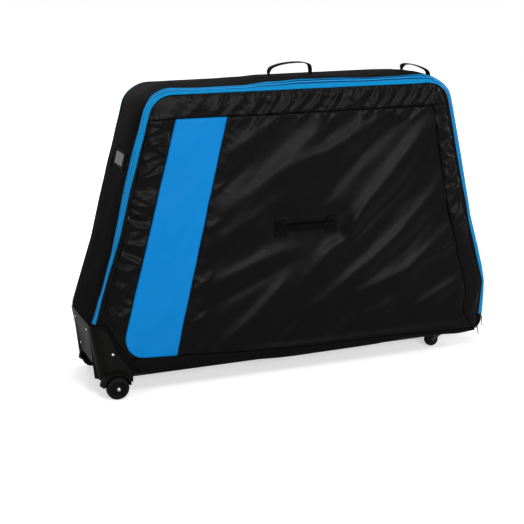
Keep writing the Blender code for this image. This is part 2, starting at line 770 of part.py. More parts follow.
def cheek_inset(height):
    # How far the housing's slanting front edge stands in from the end at a height.
    level = (height - HOUSING_BOTTOM) / HOUSING_HEIGHT
    for (low, inset), (high, inset_high) in zip(CHEEK_SLANT, CHEEK_SLANT[1:]):
        if level <= high:
            share = max(0.0, (level - low) / (high - low))
            return CHEEK_REACH * (inset + (inset_high - inset) * share)
    return CHEEK_REACH * CHEEK_SLANT[-1][1]


def housing_ring(height):
    # Outer and inner points of the housing's wall at one height, front edge to back edge.
    arc_top = BASE_UNDERSIDE + FOOT_RADIUS
    slope = (half_width(arc_top + 2 * FOOT_RADIUS) - half_width(arc_top + GAP)) / (2 * FOOT_RADIUS)
    half = half_width(max(height, arc_top + GAP)) - slope * max(0.0, arc_top + GAP - height)
    ridge_top = HOUSING_TOP - RIDGE_DROP
    rise = (ridge_top - height) / (ridge_top - HOUSING_BOTTOM)
    ridge = RIDGE_HEIGHT * max(0.0, rise)
    arc_start = -half + EDGE_RADIUS
    outline = [(max(cheek_inset(height) - half, arc_start + GAP), FRONT, 0.0, -1.0)]
    for step in range(EDGE_STEPS + 1):
        angle = pi / 2 * step / EDGE_STEPS
        outline.append((
            arc_start - EDGE_RADIUS * sin(angle), -EDGE_START - EDGE_RADIUS * cos(angle),
            -sin(angle), -cos(angle)))
    for share in (-1.0, -0.5, 0.0, 0.5, 1.0):
        outline.append((-half, -RIDGE_PLACE + share * RIDGE_HALF_WIDTH, -1.0, 0.0))
    outline += [(across, -depth, out_x, -out_y) for across, depth, out_x, out_y in reversed(outline)]
    outer, inner = [], []
    for across, depth, out_x, out_y in outline:
        spread = min(1.0, abs(abs(depth) - RIDGE_PLACE) / RIDGE_HALF_WIDTH)
        bump = ridge * (0.5 + 0.5 * cos(pi * spread)) if out_x <= -1.0 else 0.0
        reach = GAP + HOUSING_WALL + bump
        outer.append((across + out_x * reach, depth + out_y * reach, height))
        inner.append((across + out_x * GAP, depth + out_y * GAP, height))
    return outer, inner


def housing_shell():
    shape = bmesh.new()
    rings = []
    for level in HOUSING_LEVELS:
        outer, inner = housing_ring(HOUSING_BOTTOM + HOUSING_HEIGHT * level)
        rings.append([[shape.verts.new(point) for point in line] for line in (outer, inner)])
    for (outer, inner), (outer_up, inner_up) in zip(rings, rings[1:]):
        for index in range(len(outer) - 1):
            shape.faces.new((outer[index], outer[index + 1], outer_up[index + 1], outer_up[index]))
            shape.faces.new((inner[index + 1], inner[index], inner_up[index], inner_up[index + 1]))
        shape.faces.new((inner[0], outer[0], outer_up[0], inner_up[0]))
        shape.faces.new((outer[-1], inner[-1], inner_up[-1], outer_up[-1]))
    for outer, inner in (rings[0], rings[-1]):
        for index in range(len(outer) - 1):
            shape.faces.new((outer[index + 1], outer[index], inner[index], inner[index + 1]))
    return smooth(from_bmesh("wheel_housing", shape, HOUSING_PLASTIC), 30)


def grown(points, reach):
    # A U-shaped line of points moved outwards, with its two ends left where they are along X.
    moved = []
    for index, point in enumerate(points):
        before, after = points[max(0, index - 1)], points[min(len(points) - 1, index + 1)]
        along = (Vector(after) - Vector(before)).normalized()
        moved.append((point[0] + along.y * -reach, point[1] + along.x * reach))
    return moved


def wheel_housing():
    shell = housing_shell()
    _, inner = housing_ring(HOUSING_BOTTOM + HOUSING_WALL)
    floor = slab(
        "housing_floor", grown([point[:2] for point in inner], HOUSING_WALL / 2),
        HOUSING_BOTTOM + GAP, BASE_UNDERSIDE - HOUSING_BOTTOM - 2 * GAP, HOUSING_PLASTIC)
    combine(shell, floor, "UNION")
    combine(shell, foot_window(), "DIFFERENCE")
    inner_radius = WHEEL_RADIUS + FENDER_CLEARANCE
    outer_radius = inner_radius + FENDER_WALL
    for side, label in ((-1, "front"), (1, "back")):
        inboard = side * (BODY_DEPTH / 2 + GAP)
        root = inboard + side * HOUSING_WALL / 2
        rim = inboard + side * FENDER_REACH
        fender = rod(
            f"fender_{label}", (WHEEL_X, root, WHEEL_RADIUS), (WHEEL_X, rim, WHEEL_RADIUS),
            outer_radius + FENDER_FLARE, HOUSING_PLASTIC, 40, outer_radius)
        hollow = rod(
            f"fender_hollow_{label}",
            (WHEEL_X, inboard + side * (HOUSING_WALL + GAP), WHEEL_RADIUS),
            (WHEEL_X, rim + side * HOUSING_WALL, WHEEL_RADIUS), inner_radius, None, 40)
        below = box(
            f"fender_below_{label}",
            (WHEEL_X - 2 * outer_radius, min(root, rim) - HOUSING_WALL, -WHEEL_RADIUS),
            (WHEEL_X + 2 * outer_radius, max(root, rim) + HOUSING_WALL, WHEEL_RADIUS + HOUSING_WALL),
            None)
        combine(fender, hollow, "DIFFERENCE")
        combine(fender, below, "DIFFERENCE")
        combine(shell, fender, "UNION", "MANIFOLD")
        ear_outer = inboard + side * (HOUSING_WALL - GAP)
        ear_inner = ear_outer - side * EAR_WALL
        ear = plate(
            f"ear_{label}", ear_outline(), min(ear_outer, ear_inner), EAR_WALL, HOUSING_PLASTIC)
        combine(shell, ear, "UNION", "MANIFOLD")
        bore = rod(
            f"axle_bore_{label}", (WHEEL_X, inboard - side * 2 * EAR_WALL, WHEEL_RADIUS),
            (WHEEL_X, inboard + side * 2 * EAR_WALL, WHEEL_RADIUS), AXLE_RADIUS + AXLE_CLEARANCE,
            None, 20)
        combine(shell, bore, "DIFFERENCE", "MANIFOLD")


def foot_window():
    # The gap in the end wall, between the two wheels, where the body's rounded foot shows.
    top = BASE_UNDERSIDE + FOOT_RADIUS
    low = HOUSING_BOTTOM - HOUSING_WALL
    wide = FOOT_WINDOW_HALF + FOOT_WINDOW_SPLAY
    corners = rounded([
        (-wide, low, 0.0), (-FOOT_WINDOW_HALF, top, FOOT_WINDOW_RADIUS),
        (FOOT_WINDOW_HALF, top, FOOT_WINDOW_RADIUS), (wide, low, 0.0)])
    window = plate(
        "foot_window", [tuple(point) for point, _ in corners], 0.0, WAIST_HALF - FOOT_LEFT + FOOT_WINDOW_DEPTH,
        None)
    window.data.transform(
        Matrix.Translation((FOOT_WINDOW_DEPTH - FOOT_LEFT, 0, 0)) @ Matrix.Rotation(pi / 2, 4, "Z"))
    return window


def ear_outline():
    # A rounded lug that hangs from the housing's floor and carries the axle.
    top = (HOUSING_BOTTOM + BASE_UNDERSIDE - GAP) / 2
    points = [(WHEEL_X - EAR_ROOT, top)]
    for step in range(13):
        angle = pi + pi * step / 12
        points.append((WHEEL_X + EAR_RADIUS * cos(angle), WHEEL_RADIUS + EAR_RADIUS * sin(angle)))
    return points + [(WHEEL_X + EAR_ROOT, top)]


def rear_wheel(side, label):
    centre_y = side * WHEEL_TRACK / 2
    centre = (WHEEL_X, centre_y, WHEEL_RADIUS)
    joint = joint_empty(f"rear_wheel_{label}_joint", centre)
    half = WHEEL_WIDTH / 2
    core = WHEEL_RADIUS - TYRE_DEPTH
    crown = TYRE_CROWN
    tyre = turned(
        f"rear_tyre_{label}",
        [(core, -half), (core, half), (WHEEL_RADIUS - 2 * crown, half),
         (WHEEL_RADIUS - crown, half - crown / 2), (WHEEL_RADIUS, half - 2 * crown),
         (WHEEL_RADIUS, -half + 2 * crown), (WHEEL_RADIUS - crown, -half + crown / 2),
         (WHEEL_RADIUS - 2 * crown, -half)],
        centre, TYRE_RUBBER, 40)
    bore = AXLE_RADIUS + AXLE_CLEARANCE
    rim = core - GAP
    recess = HUB_RECESS
    boss = bore + recess
    hub = turned(
        f"rear_hub_{label}",
        [(bore, -half), (boss, -half), (boss + recess / 2, -half + recess), (rim - recess, -half + recess),
         (rim - recess / 2, -half), (rim, -half), (rim, half), (rim - recess / 2, half),
         (rim - recess, half - recess), (boss + recess / 2, half - recess), (boss, half), (bore, half)],
        centre, HOUSING_PLASTIC, 32)
    for item in (tyre, hub):
        settle(item, centre, joint)
    head = centre_y + side * (half + GAP)
    inside = side * (BODY_DEPTH / 2 + GAP + HOUSING_WALL - EAR_WALL - GAP)
    flange = AXLE_FLANGE
    reach = abs(head - inside)
    turned(
        f"rear_axle_{label}",
        [(0.0, -flange), (AXLE_RADIUS * 1.7, -flange), (AXLE_RADIUS * 1.7, 0.0), (AXLE_RADIUS, 0.0),
         (AXLE_RADIUS, reach), (AXLE_RADIUS * 1.8, reach), (AXLE_RADIUS * 1.5, reach + flange),
         (0.0, reach + 1.3 * flange)] if side < 0 else
        [(0.0, -reach - 1.3 * flange), (AXLE_RADIUS * 1.5, -reach - flange),
         (AXLE_RADIUS * 1.8, -reach), (AXLE_RADIUS, -reach), (AXLE_RADIUS, 0.0),
         (AXLE_RADIUS * 1.7, 0.0), (AXLE_RADIUS * 1.7, flange), (0.0, flange)],
        (WHEEL_X, inside, WHEEL_RADIUS), STEEL, 20)


def caster(side, label):
    place_y = side * CASTER_Y
    pivot = (CASTER_X, place_y, 0.0)
    plate_top = BASE_UNDERSIDE - GAP
    plate_low = plate_top - CASTER_PLATE
    crown_top = plate_low - GAP
    crown_low = crown_top - FORK_WALL
    head_top = crown_low - GAP
    head_low = head_top - KINGPIN_HEAD_LENGTH
    mount = bevelled(box(
        f"caster_plate_{label}",
        (CASTER_X - CASTER_PLATE_LENGTH / 2, place_y - CASTER_PLATE_WIDTH / 2, plate_low),
        (CASTER_X + CASTER_PLATE_LENGTH / 2, place_y + CASTER_PLATE_WIDTH / 2, plate_top), STEEL),
        PLATE_BEVEL, 1)
    kingpin = rod(
        f"kingpin_{label}", (CASTER_X, place_y, plate_top - GAP), (CASTER_X, place_y, head_low),
        KINGPIN_RADIUS, STEEL, 16)
    head = rod(
        f"kingpin_head_{label}", (CASTER_X, place_y, head_top), (CASTER_X, place_y, head_low),
        KINGPIN_HEAD, STEEL, 16)
    combine(kingpin, head, "UNION")
    combine(mount, kingpin, "UNION")

    swivel = joint_empty(f"caster_swivel_{label}_joint", pivot)
    axle_x = CASTER_X - CASTER_TRAIL
    axle = Vector((axle_x, place_y, CASTER_WHEEL_RADIUS))
    leg_inner = CASTER_WHEEL_WIDTH / 2 + FORK_SIDE_GAP
    leg_outer = leg_inner + FORK_WALL
    crown_left = CASTER_X - CROWN_LEFT
    crown_right = CASTER_X + CROWN_RIGHT
    fork = box(
        f"caster_fork_{label}", (crown_left, place_y - leg_outer + GAP, crown_low),
        (crown_right, place_y + leg_outer - GAP, crown_top), STEEL)
    foot = FORK_FOOT_RADIUS
    lean = atan2(crown_top - axle.z, crown_right - axle.x)
    leg = [(crown_right - GAP, crown_top - GAP), (crown_left + GAP, crown_top - GAP)]
    for step in range(9):
        angle = lean + pi / 2 + pi * step / 8
        leg.append((axle.x + foot * cos(angle), axle.z + foot * sin(angle)))
    for name, low_y in (("near", place_y - leg_outer), ("far", place_y + leg_inner)):
        leg_plate = plate(f"caster_leg_{name}_{label}", leg, low_y, FORK_WALL, STEEL)
        combine(fork, leg_plate, "UNION")
    king_bore = rod(
        f"king_bore_{label}", (CASTER_X, place_y, crown_low - FORK_WALL),
        (CASTER_X, place_y, crown_top + FORK_WALL), KINGPIN_RADIUS + GAP, None, 16)
    combine(fork, king_bore, "DIFFERENCE")
    axle_bore = rod(
        f"caster_bore_{label}", axle - Vector((0, 2 * leg_outer, 0)), axle + Vector((0, 2 * leg_outer, 0)),
        CASTER_AXLE_RADIUS + GAP, None, 16)
    combine(fork, axle_bore, "DIFFERENCE")
    settle(fork, pivot, swivel)

    over = leg_outer + GAP
    head_thick = CASTER_AXLE_HEAD
    pin = turned(
        f"caster_axle_{label}",
        [(0.0, -over - head_thick), (CASTER_AXLE_RADIUS * 1.6, -over - head_thick),
         (CASTER_AXLE_RADIUS * 1.6, -over), (CASTER_AXLE_RADIUS, -over), (CASTER_AXLE_RADIUS, over),
         (CASTER_AXLE_RADIUS * 1.6, over), (CASTER_AXLE_RADIUS * 1.6, over + head_thick),
         (0.0, over + head_thick)], axle, STEEL, 16)
    settle(pin, pivot, swivel)

    roll = joint_empty(f"caster_roll_{label}_joint", axle, swivel)
    half = CASTER_WHEEL_WIDTH / 2
    edge = CASTER_TREAD_EDGE
    wheel = turned(
        f"caster_wheel_{label}",
        [(CASTER_AXLE_RADIUS + GAP, -half), (CASTER_WHEEL_RADIUS - edge, -half),
         (CASTER_WHEEL_RADIUS - edge / 3, -half + edge / 2), (CASTER_WHEEL_RADIUS, -half + 1.5 * edge),
         (CASTER_WHEEL_RADIUS, half - 1.5 * edge), (CASTER_WHEEL_RADIUS - edge / 3, half - edge / 2),
         (CASTER_WHEEL_RADIUS - edge, half), (CASTER_AXLE_RADIUS + GAP, half)],
        axle, TYRE_RUBBER, 32)
    settle(wheel, axle, roll)


def grab_handle(name, start, end, rise, bow):
    # A webbing loop on two tapered feet. start and end are points of X and Z on the surface.
    chord = Vector((end[0] - start[0], end[1] - start[1]))
    tilt = atan2(chord.y, chord.x)
    lift = HANDLE_FOOT_RADIUS + GAP
    length = chord.length
    half = HANDLE_WIDTH / 2
    wide = lift + min(HANDLE_TAPER, rise / 2)
    corner = min(HANDLE_CORNER, 0.3 * rise)
    top = lift + rise
    path = rounded([
        (-WEBBING / 2, wide, 0.0), (-WEBBING / 2, top, corner), (length / 2, top + bow, HANDLE_BOW_RADIUS),
        (length + WEBBING / 2, top, corner), (length + WEBBING / 2, wide, 0.0)])
    section = [
        (-WEBBING / 2, -half), (-WEBBING / 2, half), (WEBBING / 2, half), (WEBBING / 2, -half)]
    loop = sweep(name, path, section, BLACK_WEBBING)
    thin = WEBBING - 2 * GAP
    for label, across in (("start", -WEBBING / 2), ("end", length + WEBBING / 2)):
        leg = plate(f"{name}_{label}", leg_outline(lift, wide, half - GAP), across - thin / 2, thin, None)
        leg.data.transform(
            Matrix.Translation((across, 0, 0)) @ Matrix.Rotation(pi / 2, 4, "Z")
            @ Matrix.Translation((0, -across, 0)))
        combine(loop, leg, "UNION")
    matrix = Matrix.Translation((start[0], 0, start[1])) @ Matrix.Rotation(-tilt, 4, "Y")
    pivot = matrix @ Vector((0, 0, lift))
    for item in [loop] + [modifier.object for modifier in loop.modifiers]:
        item.data.transform(matrix)
    joint = joint_empty(name + "_joint", pivot)
    bpy.context.view_layer.update()
    settle(as_mesh(loop, BLACK_WEBBING), pivot, joint)
    return pivot, tilt


def leg_outline(lift, wide, half):
    # A tapered leg with a round foot on the pivot line.
    points = []
    for step in range(9):
        angle = pi + pi * step / 8
        points.append((HANDLE_FOOT_RADIUS * cos(angle), lift + HANDLE_FOOT_RADIUS * sin(angle)))
    return points + [(half, wide), (half, wide + WEBBING), (-half, wide + WEBBING), (-half, wide)]


def handles():
    strip_half = HANDLE_WIDTH / 2 + STRIP_OVERLAP / 3
    strip = [
        (-GAP, -strip_half), (-GAP, strip_half), (-GAP - CLOTH, strip_half), (-GAP - CLOTH, -strip_half)]
    sweep(
        "top_handle_base", stretch(crossing(TOP_STRIP_RIGHT, 0, 1), crossing(TOP_STRIP_LEFT, 0, -1)),
        strip, BLACK_WEBBING)
    surface = BODY_TOP + GAP + CLOTH
    grab_handle(
        "top_handle", (TOP_HANDLE_LEFT, surface), (TOP_HANDLE_RIGHT, surface), TOP_HANDLE_RISE,
        TOP_HANDLE_BOW)
    first = crossing(CORNER_HANDLE_START, 0, 1)
    last = crossing(CORNER_HANDLE_END, 0, 1)
    sweep(
        "corner_handle_base", stretch(last - STRIP_OVERLAP, first + STRIP_OVERLAP), strip,
        BLACK_WEBBING)
    feet = []
    for distance in (first, last):
        point, inward = station_at(distance)
        feet.append(tuple(point - inward * (GAP + CLOTH)))
    grab_handle("corner_handle", feet[0], feet[1], CORNER_HANDLE_RISE, CORNER_HANDLE_BOW)


def address_window():
    point, inward = station_at(crossing(ADDRESS_HEIGHT, 1, -1))
    tilt = atan2(-inward.y, -inward.x)
    matrix = (
        Matrix.Translation((point.x, ADDRESS_Y, point.y)) @ Matrix.Rotation(-tilt, 4, "Y"))
    length, width = ADDRESS_LENGTH / 2, ADDRESS_WIDTH / 2
    frame = box("address_frame", (GAP, -width, -length), (GAP + ADDRESS_THICK, width, length), BLACK_WEBBING)
    border = ADDRESS_BORDER
    hole = box(
        "address_hole", (-GAP, -width + border, -length + border),
        (2 * ADDRESS_THICK, width - border, length - border), None)
    seat = border - WINDOW_LIP
    rebate = box(
        "address_rebate", (-GAP, -width + seat, -length + seat),
        (2 * GAP + WINDOW_THICK + GAP, width - seat, length - seat), None)
    inner = seat + GAP
    window = box(
        "address_window", (2 * GAP, -width + inner, -length + inner),
        (2 * GAP + WINDOW_THICK, width - inner, length - inner), WINDOW_FILM)
    combine(frame, hole, "DIFFERENCE")
    combine(frame, rebate, "DIFFERENCE")
    for item in (frame, hole, rebate, window):
        turned_to(item, matrix)


def slider_frame(distance):
    # Place and directions of a slider: on the zip line, along it, outwards and across.
    point, inward = station_at(distance)
    along = Vector((inward.y, 0.0, -inward.x))
    outward = Vector((-inward.x, 0.0, -inward.y))
    out = (outward + Vector((0.0, -1.0, 0.0))).normalized()
    centre = Vector((point.x, 0.0, point.y)) - outward * EDGE_RADIUS
    centre.y = -EDGE_START
    return centre + out * (EDGE_RADIUS + GAP), along, out, along.cross(out)


def basis(place, first, second, third):
    matrix = Matrix((first, second, third)).transposed().to_4x4()
    matrix.translation = place
    return matrix


def slider(label, distance, puller_length, material, pivot, parent):
    place, along, out, across = slider_frame(distance)
    half, wide = SLIDER_LENGTH / 2, SLIDER_WIDTH / 2
    body = box(f"slider_{label}", (-half, -wide, 0.0), (half, wide, SLIDER_THICK), STEEL)
    pin_height = SLIDER_THICK + PULLER_EYE + GAP
    ear_gap = PULLER_WIDTH / 2 + GAP
    ear_wall = SLIDER_EAR
    ear = [(-PULLER_EYE, SLIDER_THICK / 2)]
    for step in range(9):
        angle = pi - pi * step / 8
        ear.append((PULLER_EYE * cos(angle), pin_height + PULLER_EYE * sin(angle)))
    ear.append((PULLER_EYE, SLIDER_THICK / 2))
    helpers = []
    for name, low in (("near", -ear_gap - ear_wall), ("far", ear_gap)):
        helper = plate(f"slider_ear_{name}_{label}", ear, low, ear_wall, STEEL)
        helpers.append(helper)
    helpers.append(rod(
        f"slider_pin_{label}", (0, -ear_gap - ear_wall / 2, pin_height),
        (0, ear_gap + ear_wall / 2, pin_height), PIN_RADIUS, STEEL, 12))
    matrix = basis(place, along, -across, out)
    for helper in helpers:
        combine(body, helper, "UNION")
    for item in [body] + helpers:
        turned_to(item, matrix)
    settle(body, pivot, parent)

    hinge = matrix @ Vector((0, 0, pin_height))
    axis = across
    hang = Vector((0.0, 0.0, -1.0))
    hang = (hang - axis * hang.dot(axis)).normalized()
    puller_joint = joint_empty(f"puller_{label}_joint", hinge, parent)
    eye, tail = PULLER_EYE, PULLER_WIDTH * 0.35
    outline = []
    for step in range(11):
        angle = radians(50) + radians(260) * step / 10
        outline.append((eye * cos(angle), eye * sin(angle)))
    outline += [(puller_length - tail, -tail), (puller_length, 0.0), (puller_length - tail, tail)]
    hole_radius = PIN_RADIUS + GAP
    hole = [
        (hole_radius * cos(pi * step / 6), hole_radius * sin(pi * step / 6)) for step in range(12)]
    puller = plate(
        f"puller_{label}", outline, -PULLER_WIDTH / 2, PULLER_WIDTH, material, holes=[hole])
    turned_to(puller, basis(hinge, hang, axis, hang.cross(axis)))
    settle(puller, hinge, puller_joint)


def sliders():
    parked = crossing(SLIDER_PARKED, 1, 1)
    place, _, _, _ = slider_frame(parked)
    upper = joint_empty("slider_upper_joint", place)
    slider("upper", parked, UPPER_PULLER_LENGTH, STEEL, place, upper)
    arc_centre = (BASE_RIGHT, 0.0, BASE_UNDERSIDE + FOOT_RADIUS)
    lower = joint_empty("slider_lower_joint", arc_centre)
    slider(
        "lower", FOOT_RADIUS * LOWER_SLIDER_TURN, LOWER_PULLER_LENGTH, BLACK_WEBBING, arc_centre,
        lower)


def rail_section():
    half, slot, lip = RAIL_WIDTH / 2, RAIL_SLOT / 2, RAIL_LIP
    low, high = BASE_TOP + GAP, BASE_TOP + GAP + RAIL_HEIGHT
    return [
        (-half, low), (half, low), (half, high), (slot, high), (slot, high - lip),
        (half - lip, high - lip), (half - lip, low + lip), (-half + lip, low + lip),
        (-half + lip, high - lip), (-slot, high - lip), (-slot, high), (-half, high)]


def along_x(item, left, length):
    # Turns a plate drawn in Y and Z, and extruded along its third axis, to run along X.
    item.data.transform(Matrix.Translation((left, 0, 0)) @ Matrix.Rotation(pi / 2, 4, "Z"))
    item.data.transform(Matrix.Translation((length, 0, 0)))
    return item


def carriage(name, centre):
    # A saddle that rides on the rail.
    half = RAIL_WIDTH / 2 + GAP
    outer = half + CARRIAGE_WALL
    low, high = BASE_TOP + 2 * GAP, BASE_TOP + 2 * GAP + RAIL_HEIGHT
    outline = [
        (-outer, low), (-half, low), (-half, high), (half, high), (half, low), (outer, low),
        (outer, high + CARRIAGE_WALL), (-outer, high + CARRIAGE_WALL)]
    item = plate(name, outline, 0.0, CARRIAGE_LENGTH, ALUMINIUM)
    return along_x(item, centre - CARRIAGE_LENGTH / 2, CARRIAGE_LENGTH)


def stand():
    rail = plate("mount_rail", rail_section(), 0.0, RAIL_RIGHT - RAIL_LEFT, ALUMINIUM)
    along_x(rail, RAIL_LEFT, RAIL_RIGHT - RAIL_LEFT)
    saddle_top = BASE_TOP + 2 * GAP + RAIL_HEIGHT + CARRIAGE_WALL

    fork_place = (FORK_MOUNT_X, 0.0, BASE_TOP)
    fork_joint = joint_empty("fork_mount_joint", fork_place)
    mount = carriage("fork_mount", FORK_MOUNT_X)
    post_low, post_high = FORK_TUBE_RADIUS * 1.6, FORK_TUBE_RADIUS
    post = rod(
        "fork_post", (FORK_MOUNT_X, 0, saddle_top - CARRIAGE_WALL / 2),
        (FORK_MOUNT_X, 0, FORK_MOUNT_HEIGHT), post_low, ALUMINIUM, 16, post_high)
    half_tube = FORK_TUBE_LENGTH / 2
    tube = rod(
        "fork_tube", (FORK_MOUNT_X, -half_tube, FORK_MOUNT_HEIGHT),
        (FORK_MOUNT_X, half_tube, FORK_MOUNT_HEIGHT), FORK_TUBE_RADIUS, ALUMINIUM, 20)
    combine(mount, post, "UNION")
    combine(mount, tube, "UNION")
    skewer_bore = rod(
        "skewer_bore", (FORK_MOUNT_X, -FORK_TUBE_LENGTH, FORK_MOUNT_HEIGHT),
        (FORK_MOUNT_X, FORK_TUBE_LENGTH, FORK_MOUNT_HEIGHT), SKEWER_RADIUS + GAP, None, 14)
    combine(mount, skewer_bore, "DIFFERENCE")
    settle(mount, fork_place, fork_joint)

    nut = half_tube + GAP
    cheek = nut + SKEWER_HEAD_LENGTH
    lever_y = -cheek - GAP - LEVER_THICK
    skewer = turned(
        "mount_skewer",
        [(0.0, -cheek), (SKEWER_NUT_RADIUS, -cheek), (SKEWER_NUT_RADIUS, -nut),
         (SKEWER_RADIUS, -nut), (SKEWER_RADIUS, nut),
         (SKEWER_NUT_RADIUS, nut), (SKEWER_NUT_RADIUS, nut + SKEWER_NUT_LENGTH),
         (0.0, nut + SKEWER_NUT_LENGTH)],
        (FORK_MOUNT_X, 0, FORK_MOUNT_HEIGHT), STEEL, 16)
    skewer.data.transform(
        Matrix.Translation((FORK_MOUNT_X, 0, FORK_MOUNT_HEIGHT)) @ Matrix.Rotation(pi, 4, "X")
        @ Matrix.Translation((-FORK_MOUNT_X, 0, -FORK_MOUNT_HEIGHT)))
    settle(skewer, fork_place, fork_joint)
    lever_place = (FORK_MOUNT_X, lever_y + LEVER_THICK / 2, FORK_MOUNT_HEIGHT)
    lever_joint = joint_empty("skewer_lever_joint", lever_place, fork_joint)
    lever_points = []
    for step in range(9):
        angle = pi / 2 + pi * step / 8
        lever_points.append((
            lever_place[0] + LEVER_THICK / 2 * cos(angle), lever_place[1] + LEVER_THICK / 2 * sin(angle)))
    tip = lever_place[0] + LEVER_LENGTH
    lever_points += [
        (tip, lever_place[1] - LEVER_THICK / 2), (tip + LEVER_THICK / 3, lever_place[1]),
        (tip, lever_place[1] + LEVER_THICK / 5)]
    lever = plate("skewer_lever", lever_points, -LEVER_WIDTH / 2, LEVER_WIDTH, STEEL)
    lever.data.transform(
        Matrix.Translation((0, 0, FORK_MOUNT_HEIGHT)) @ Matrix.Rotation(-pi / 2, 4, "X"))
    settle(lever, lever_place, lever_joint)

    cradle_place = (CRADLE_X, 0.0, BASE_TOP)
    cradle_joint = joint_empty("cradle_joint", cradle_place)
    cradle = carriage("cradle_carriage", CRADLE_X)
    bed_low = CRADLE_HEIGHT - CRADLE_PAD - GAP - CARRIAGE_WALL
    cradle_post = rod(
        "cradle_post", (CRADLE_X, 0, saddle_top - CARRIAGE_WALL / 2),
        (CRADLE_X, 0, bed_low + CARRIAGE_WALL / 2), CRADLE_POST, ALUMINIUM, 16)
    bed = box(
        "cradle_bed", (CRADLE_X - CRADLE_LENGTH / 2, -CRADLE_HALF_WIDTH, bed_low),
        (CRADLE_X + CRADLE_LENGTH / 2, CRADLE_HALF_WIDTH, bed_low + CARRIAGE_WALL), ALUMINIUM)
    combine(cradle, cradle_post, "UNION")
    combine(cradle, bed, "UNION")
    pad_top = CRADLE_HEIGHT
    dip = CRADLE_DIP
    pad_points = [
        (-CRADLE_HALF_WIDTH, pad_top - CRADLE_PAD), (CRADLE_HALF_WIDTH, pad_top - CRADLE_PAD),
        (CRADLE_HALF_WIDTH, pad_top), (CRADLE_HALF_WIDTH / 2, pad_top - dip),
        (-CRADLE_HALF_WIDTH / 2, pad_top - dip), (-CRADLE_HALF_WIDTH, pad_top)]
    pad = along_x(
        plate("cradle_pad", pad_points, 0.0, CRADLE_LENGTH, PAD_RUBBER),
        CRADLE_X - CRADLE_LENGTH / 2, CRADLE_LENGTH)
    strap_width = HANDLE_WIDTH
    inner, outer = CRADLE_HALF_WIDTH + GAP, CRADLE_HALF_WIDTH + GAP + WEBBING
    strap_top = CRADLE_HEIGHT + CRADLE_STRAP_RISE
    slope = CRADLE_HALF_WIDTH / 2
    strap_points = [
        (-outer, bed_low), (-inner, bed_low), (-inner, strap_top - slope),
        (-inner + slope, strap_top), (inner - slope, strap_top), (inner, strap_top - slope),
        (inner, bed_low), (outer, bed_low), (outer, strap_top - slope + WEBBING / 2),
        (inner - slope + WEBBING / 2, strap_top + WEBBING),
        (-inner + slope - WEBBING / 2, strap_top + WEBBING),
        (-outer, strap_top - slope + WEBBING / 2)]
    strap = along_x(
        plate("cradle_strap", strap_points, 0.0, strap_width, BLACK_WEBBING),
        CRADLE_X - strap_width / 2, strap_width)
    for item in (cradle, pad, strap):
        settle(item, cradle_place, cradle_joint)


base()
walls()
pocket("back_wheel_pocket", BACK - FOAM - GAP, -1)
panel_hinge = joint_empty("front_panel_joint", (0.0, FRONT, HINGE_HEIGHT))
front_panel(panel_hinge)
zip_parts(panel_hinge)
grip(panel_hinge)
wheel_housing()
for wheel_side, wheel_label in ((-1, "front"), (1, "back")):
    rear_wheel(wheel_side, wheel_label)
    caster(wheel_side, wheel_label)
handles()
address_window()
sliders()
stand()
bpy.context.view_layer.update()
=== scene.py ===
import math
import bpy
import bmesh
import numpy as np
from mathutils import Matrix, Vector


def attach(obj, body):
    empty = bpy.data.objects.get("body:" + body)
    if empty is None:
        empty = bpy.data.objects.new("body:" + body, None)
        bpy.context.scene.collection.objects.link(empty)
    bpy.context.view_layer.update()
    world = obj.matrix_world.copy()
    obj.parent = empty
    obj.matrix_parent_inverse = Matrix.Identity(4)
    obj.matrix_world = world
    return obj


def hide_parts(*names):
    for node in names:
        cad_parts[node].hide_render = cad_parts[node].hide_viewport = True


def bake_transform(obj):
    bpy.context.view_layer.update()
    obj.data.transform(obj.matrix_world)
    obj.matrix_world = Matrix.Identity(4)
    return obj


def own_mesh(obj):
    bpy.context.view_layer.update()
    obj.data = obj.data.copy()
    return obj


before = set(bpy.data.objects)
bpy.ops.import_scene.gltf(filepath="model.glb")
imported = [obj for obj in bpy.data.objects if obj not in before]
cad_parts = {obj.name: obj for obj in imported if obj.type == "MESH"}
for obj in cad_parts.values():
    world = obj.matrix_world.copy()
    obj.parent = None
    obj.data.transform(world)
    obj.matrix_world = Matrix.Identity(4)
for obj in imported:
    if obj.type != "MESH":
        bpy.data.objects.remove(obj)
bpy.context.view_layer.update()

scene = bpy.context.scene
print("frame loaded:", len(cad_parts), "solids")

# camera, solved from the photograph
cameraView = {
    "place": (-1.3055, -3.067, 1.1913),
    "yaw": 21.83,  # degrees to the right of +Y
    "pitch": 15.0,  # degrees down
    "focalPixels": 1159.2,
    "imagePixels": 524,
    "sensor": 36.0,
}


def addObject(name, data):
    thing = bpy.data.objects.new(name, data)
    scene.collection.objects.link(thing)
    return thing


def addCamera(view):
    lens = bpy.data.cameras.new("camera")
    lens.sensor_width = view["sensor"]
    lens.lens = view["sensor"] * view["focalPixels"] / view["imagePixels"]
    scene.camera = addObject("camera", lens)
    scene.camera.location = view["place"]
    scene.camera.rotation_euler = (math.radians(90 - view["pitch"]), 0, -math.radians(view["yaw"]))


addCamera(cameraView)


def smoothNoise(u, v, size, seed, cells=64, shift=(31.7, 17.3)):
    # value noise between -1 and 1 on a random lattice of the given cell size
    grid = np.random.default_rng(seed).uniform(-1, 1, (cells, cells))
    a, b = np.asarray(u) / size + shift[0], np.asarray(v) / size + shift[1]
    i, j = np.floor(a).astype(int), np.floor(b).astype(int)
    f, g = a - i, b - j
    f, g = f * f * (3 - 2 * f), g * g * (3 - 2 * g)

    def at(row, column):
        return grid[row % cells, column % cells]

    low = at(i, j) * (1 - f) + at(i + 1, j) * f
    high = at(i, j + 1) * (1 - f) + at(i + 1, j + 1) * f
    return low * (1 - g) + high * g


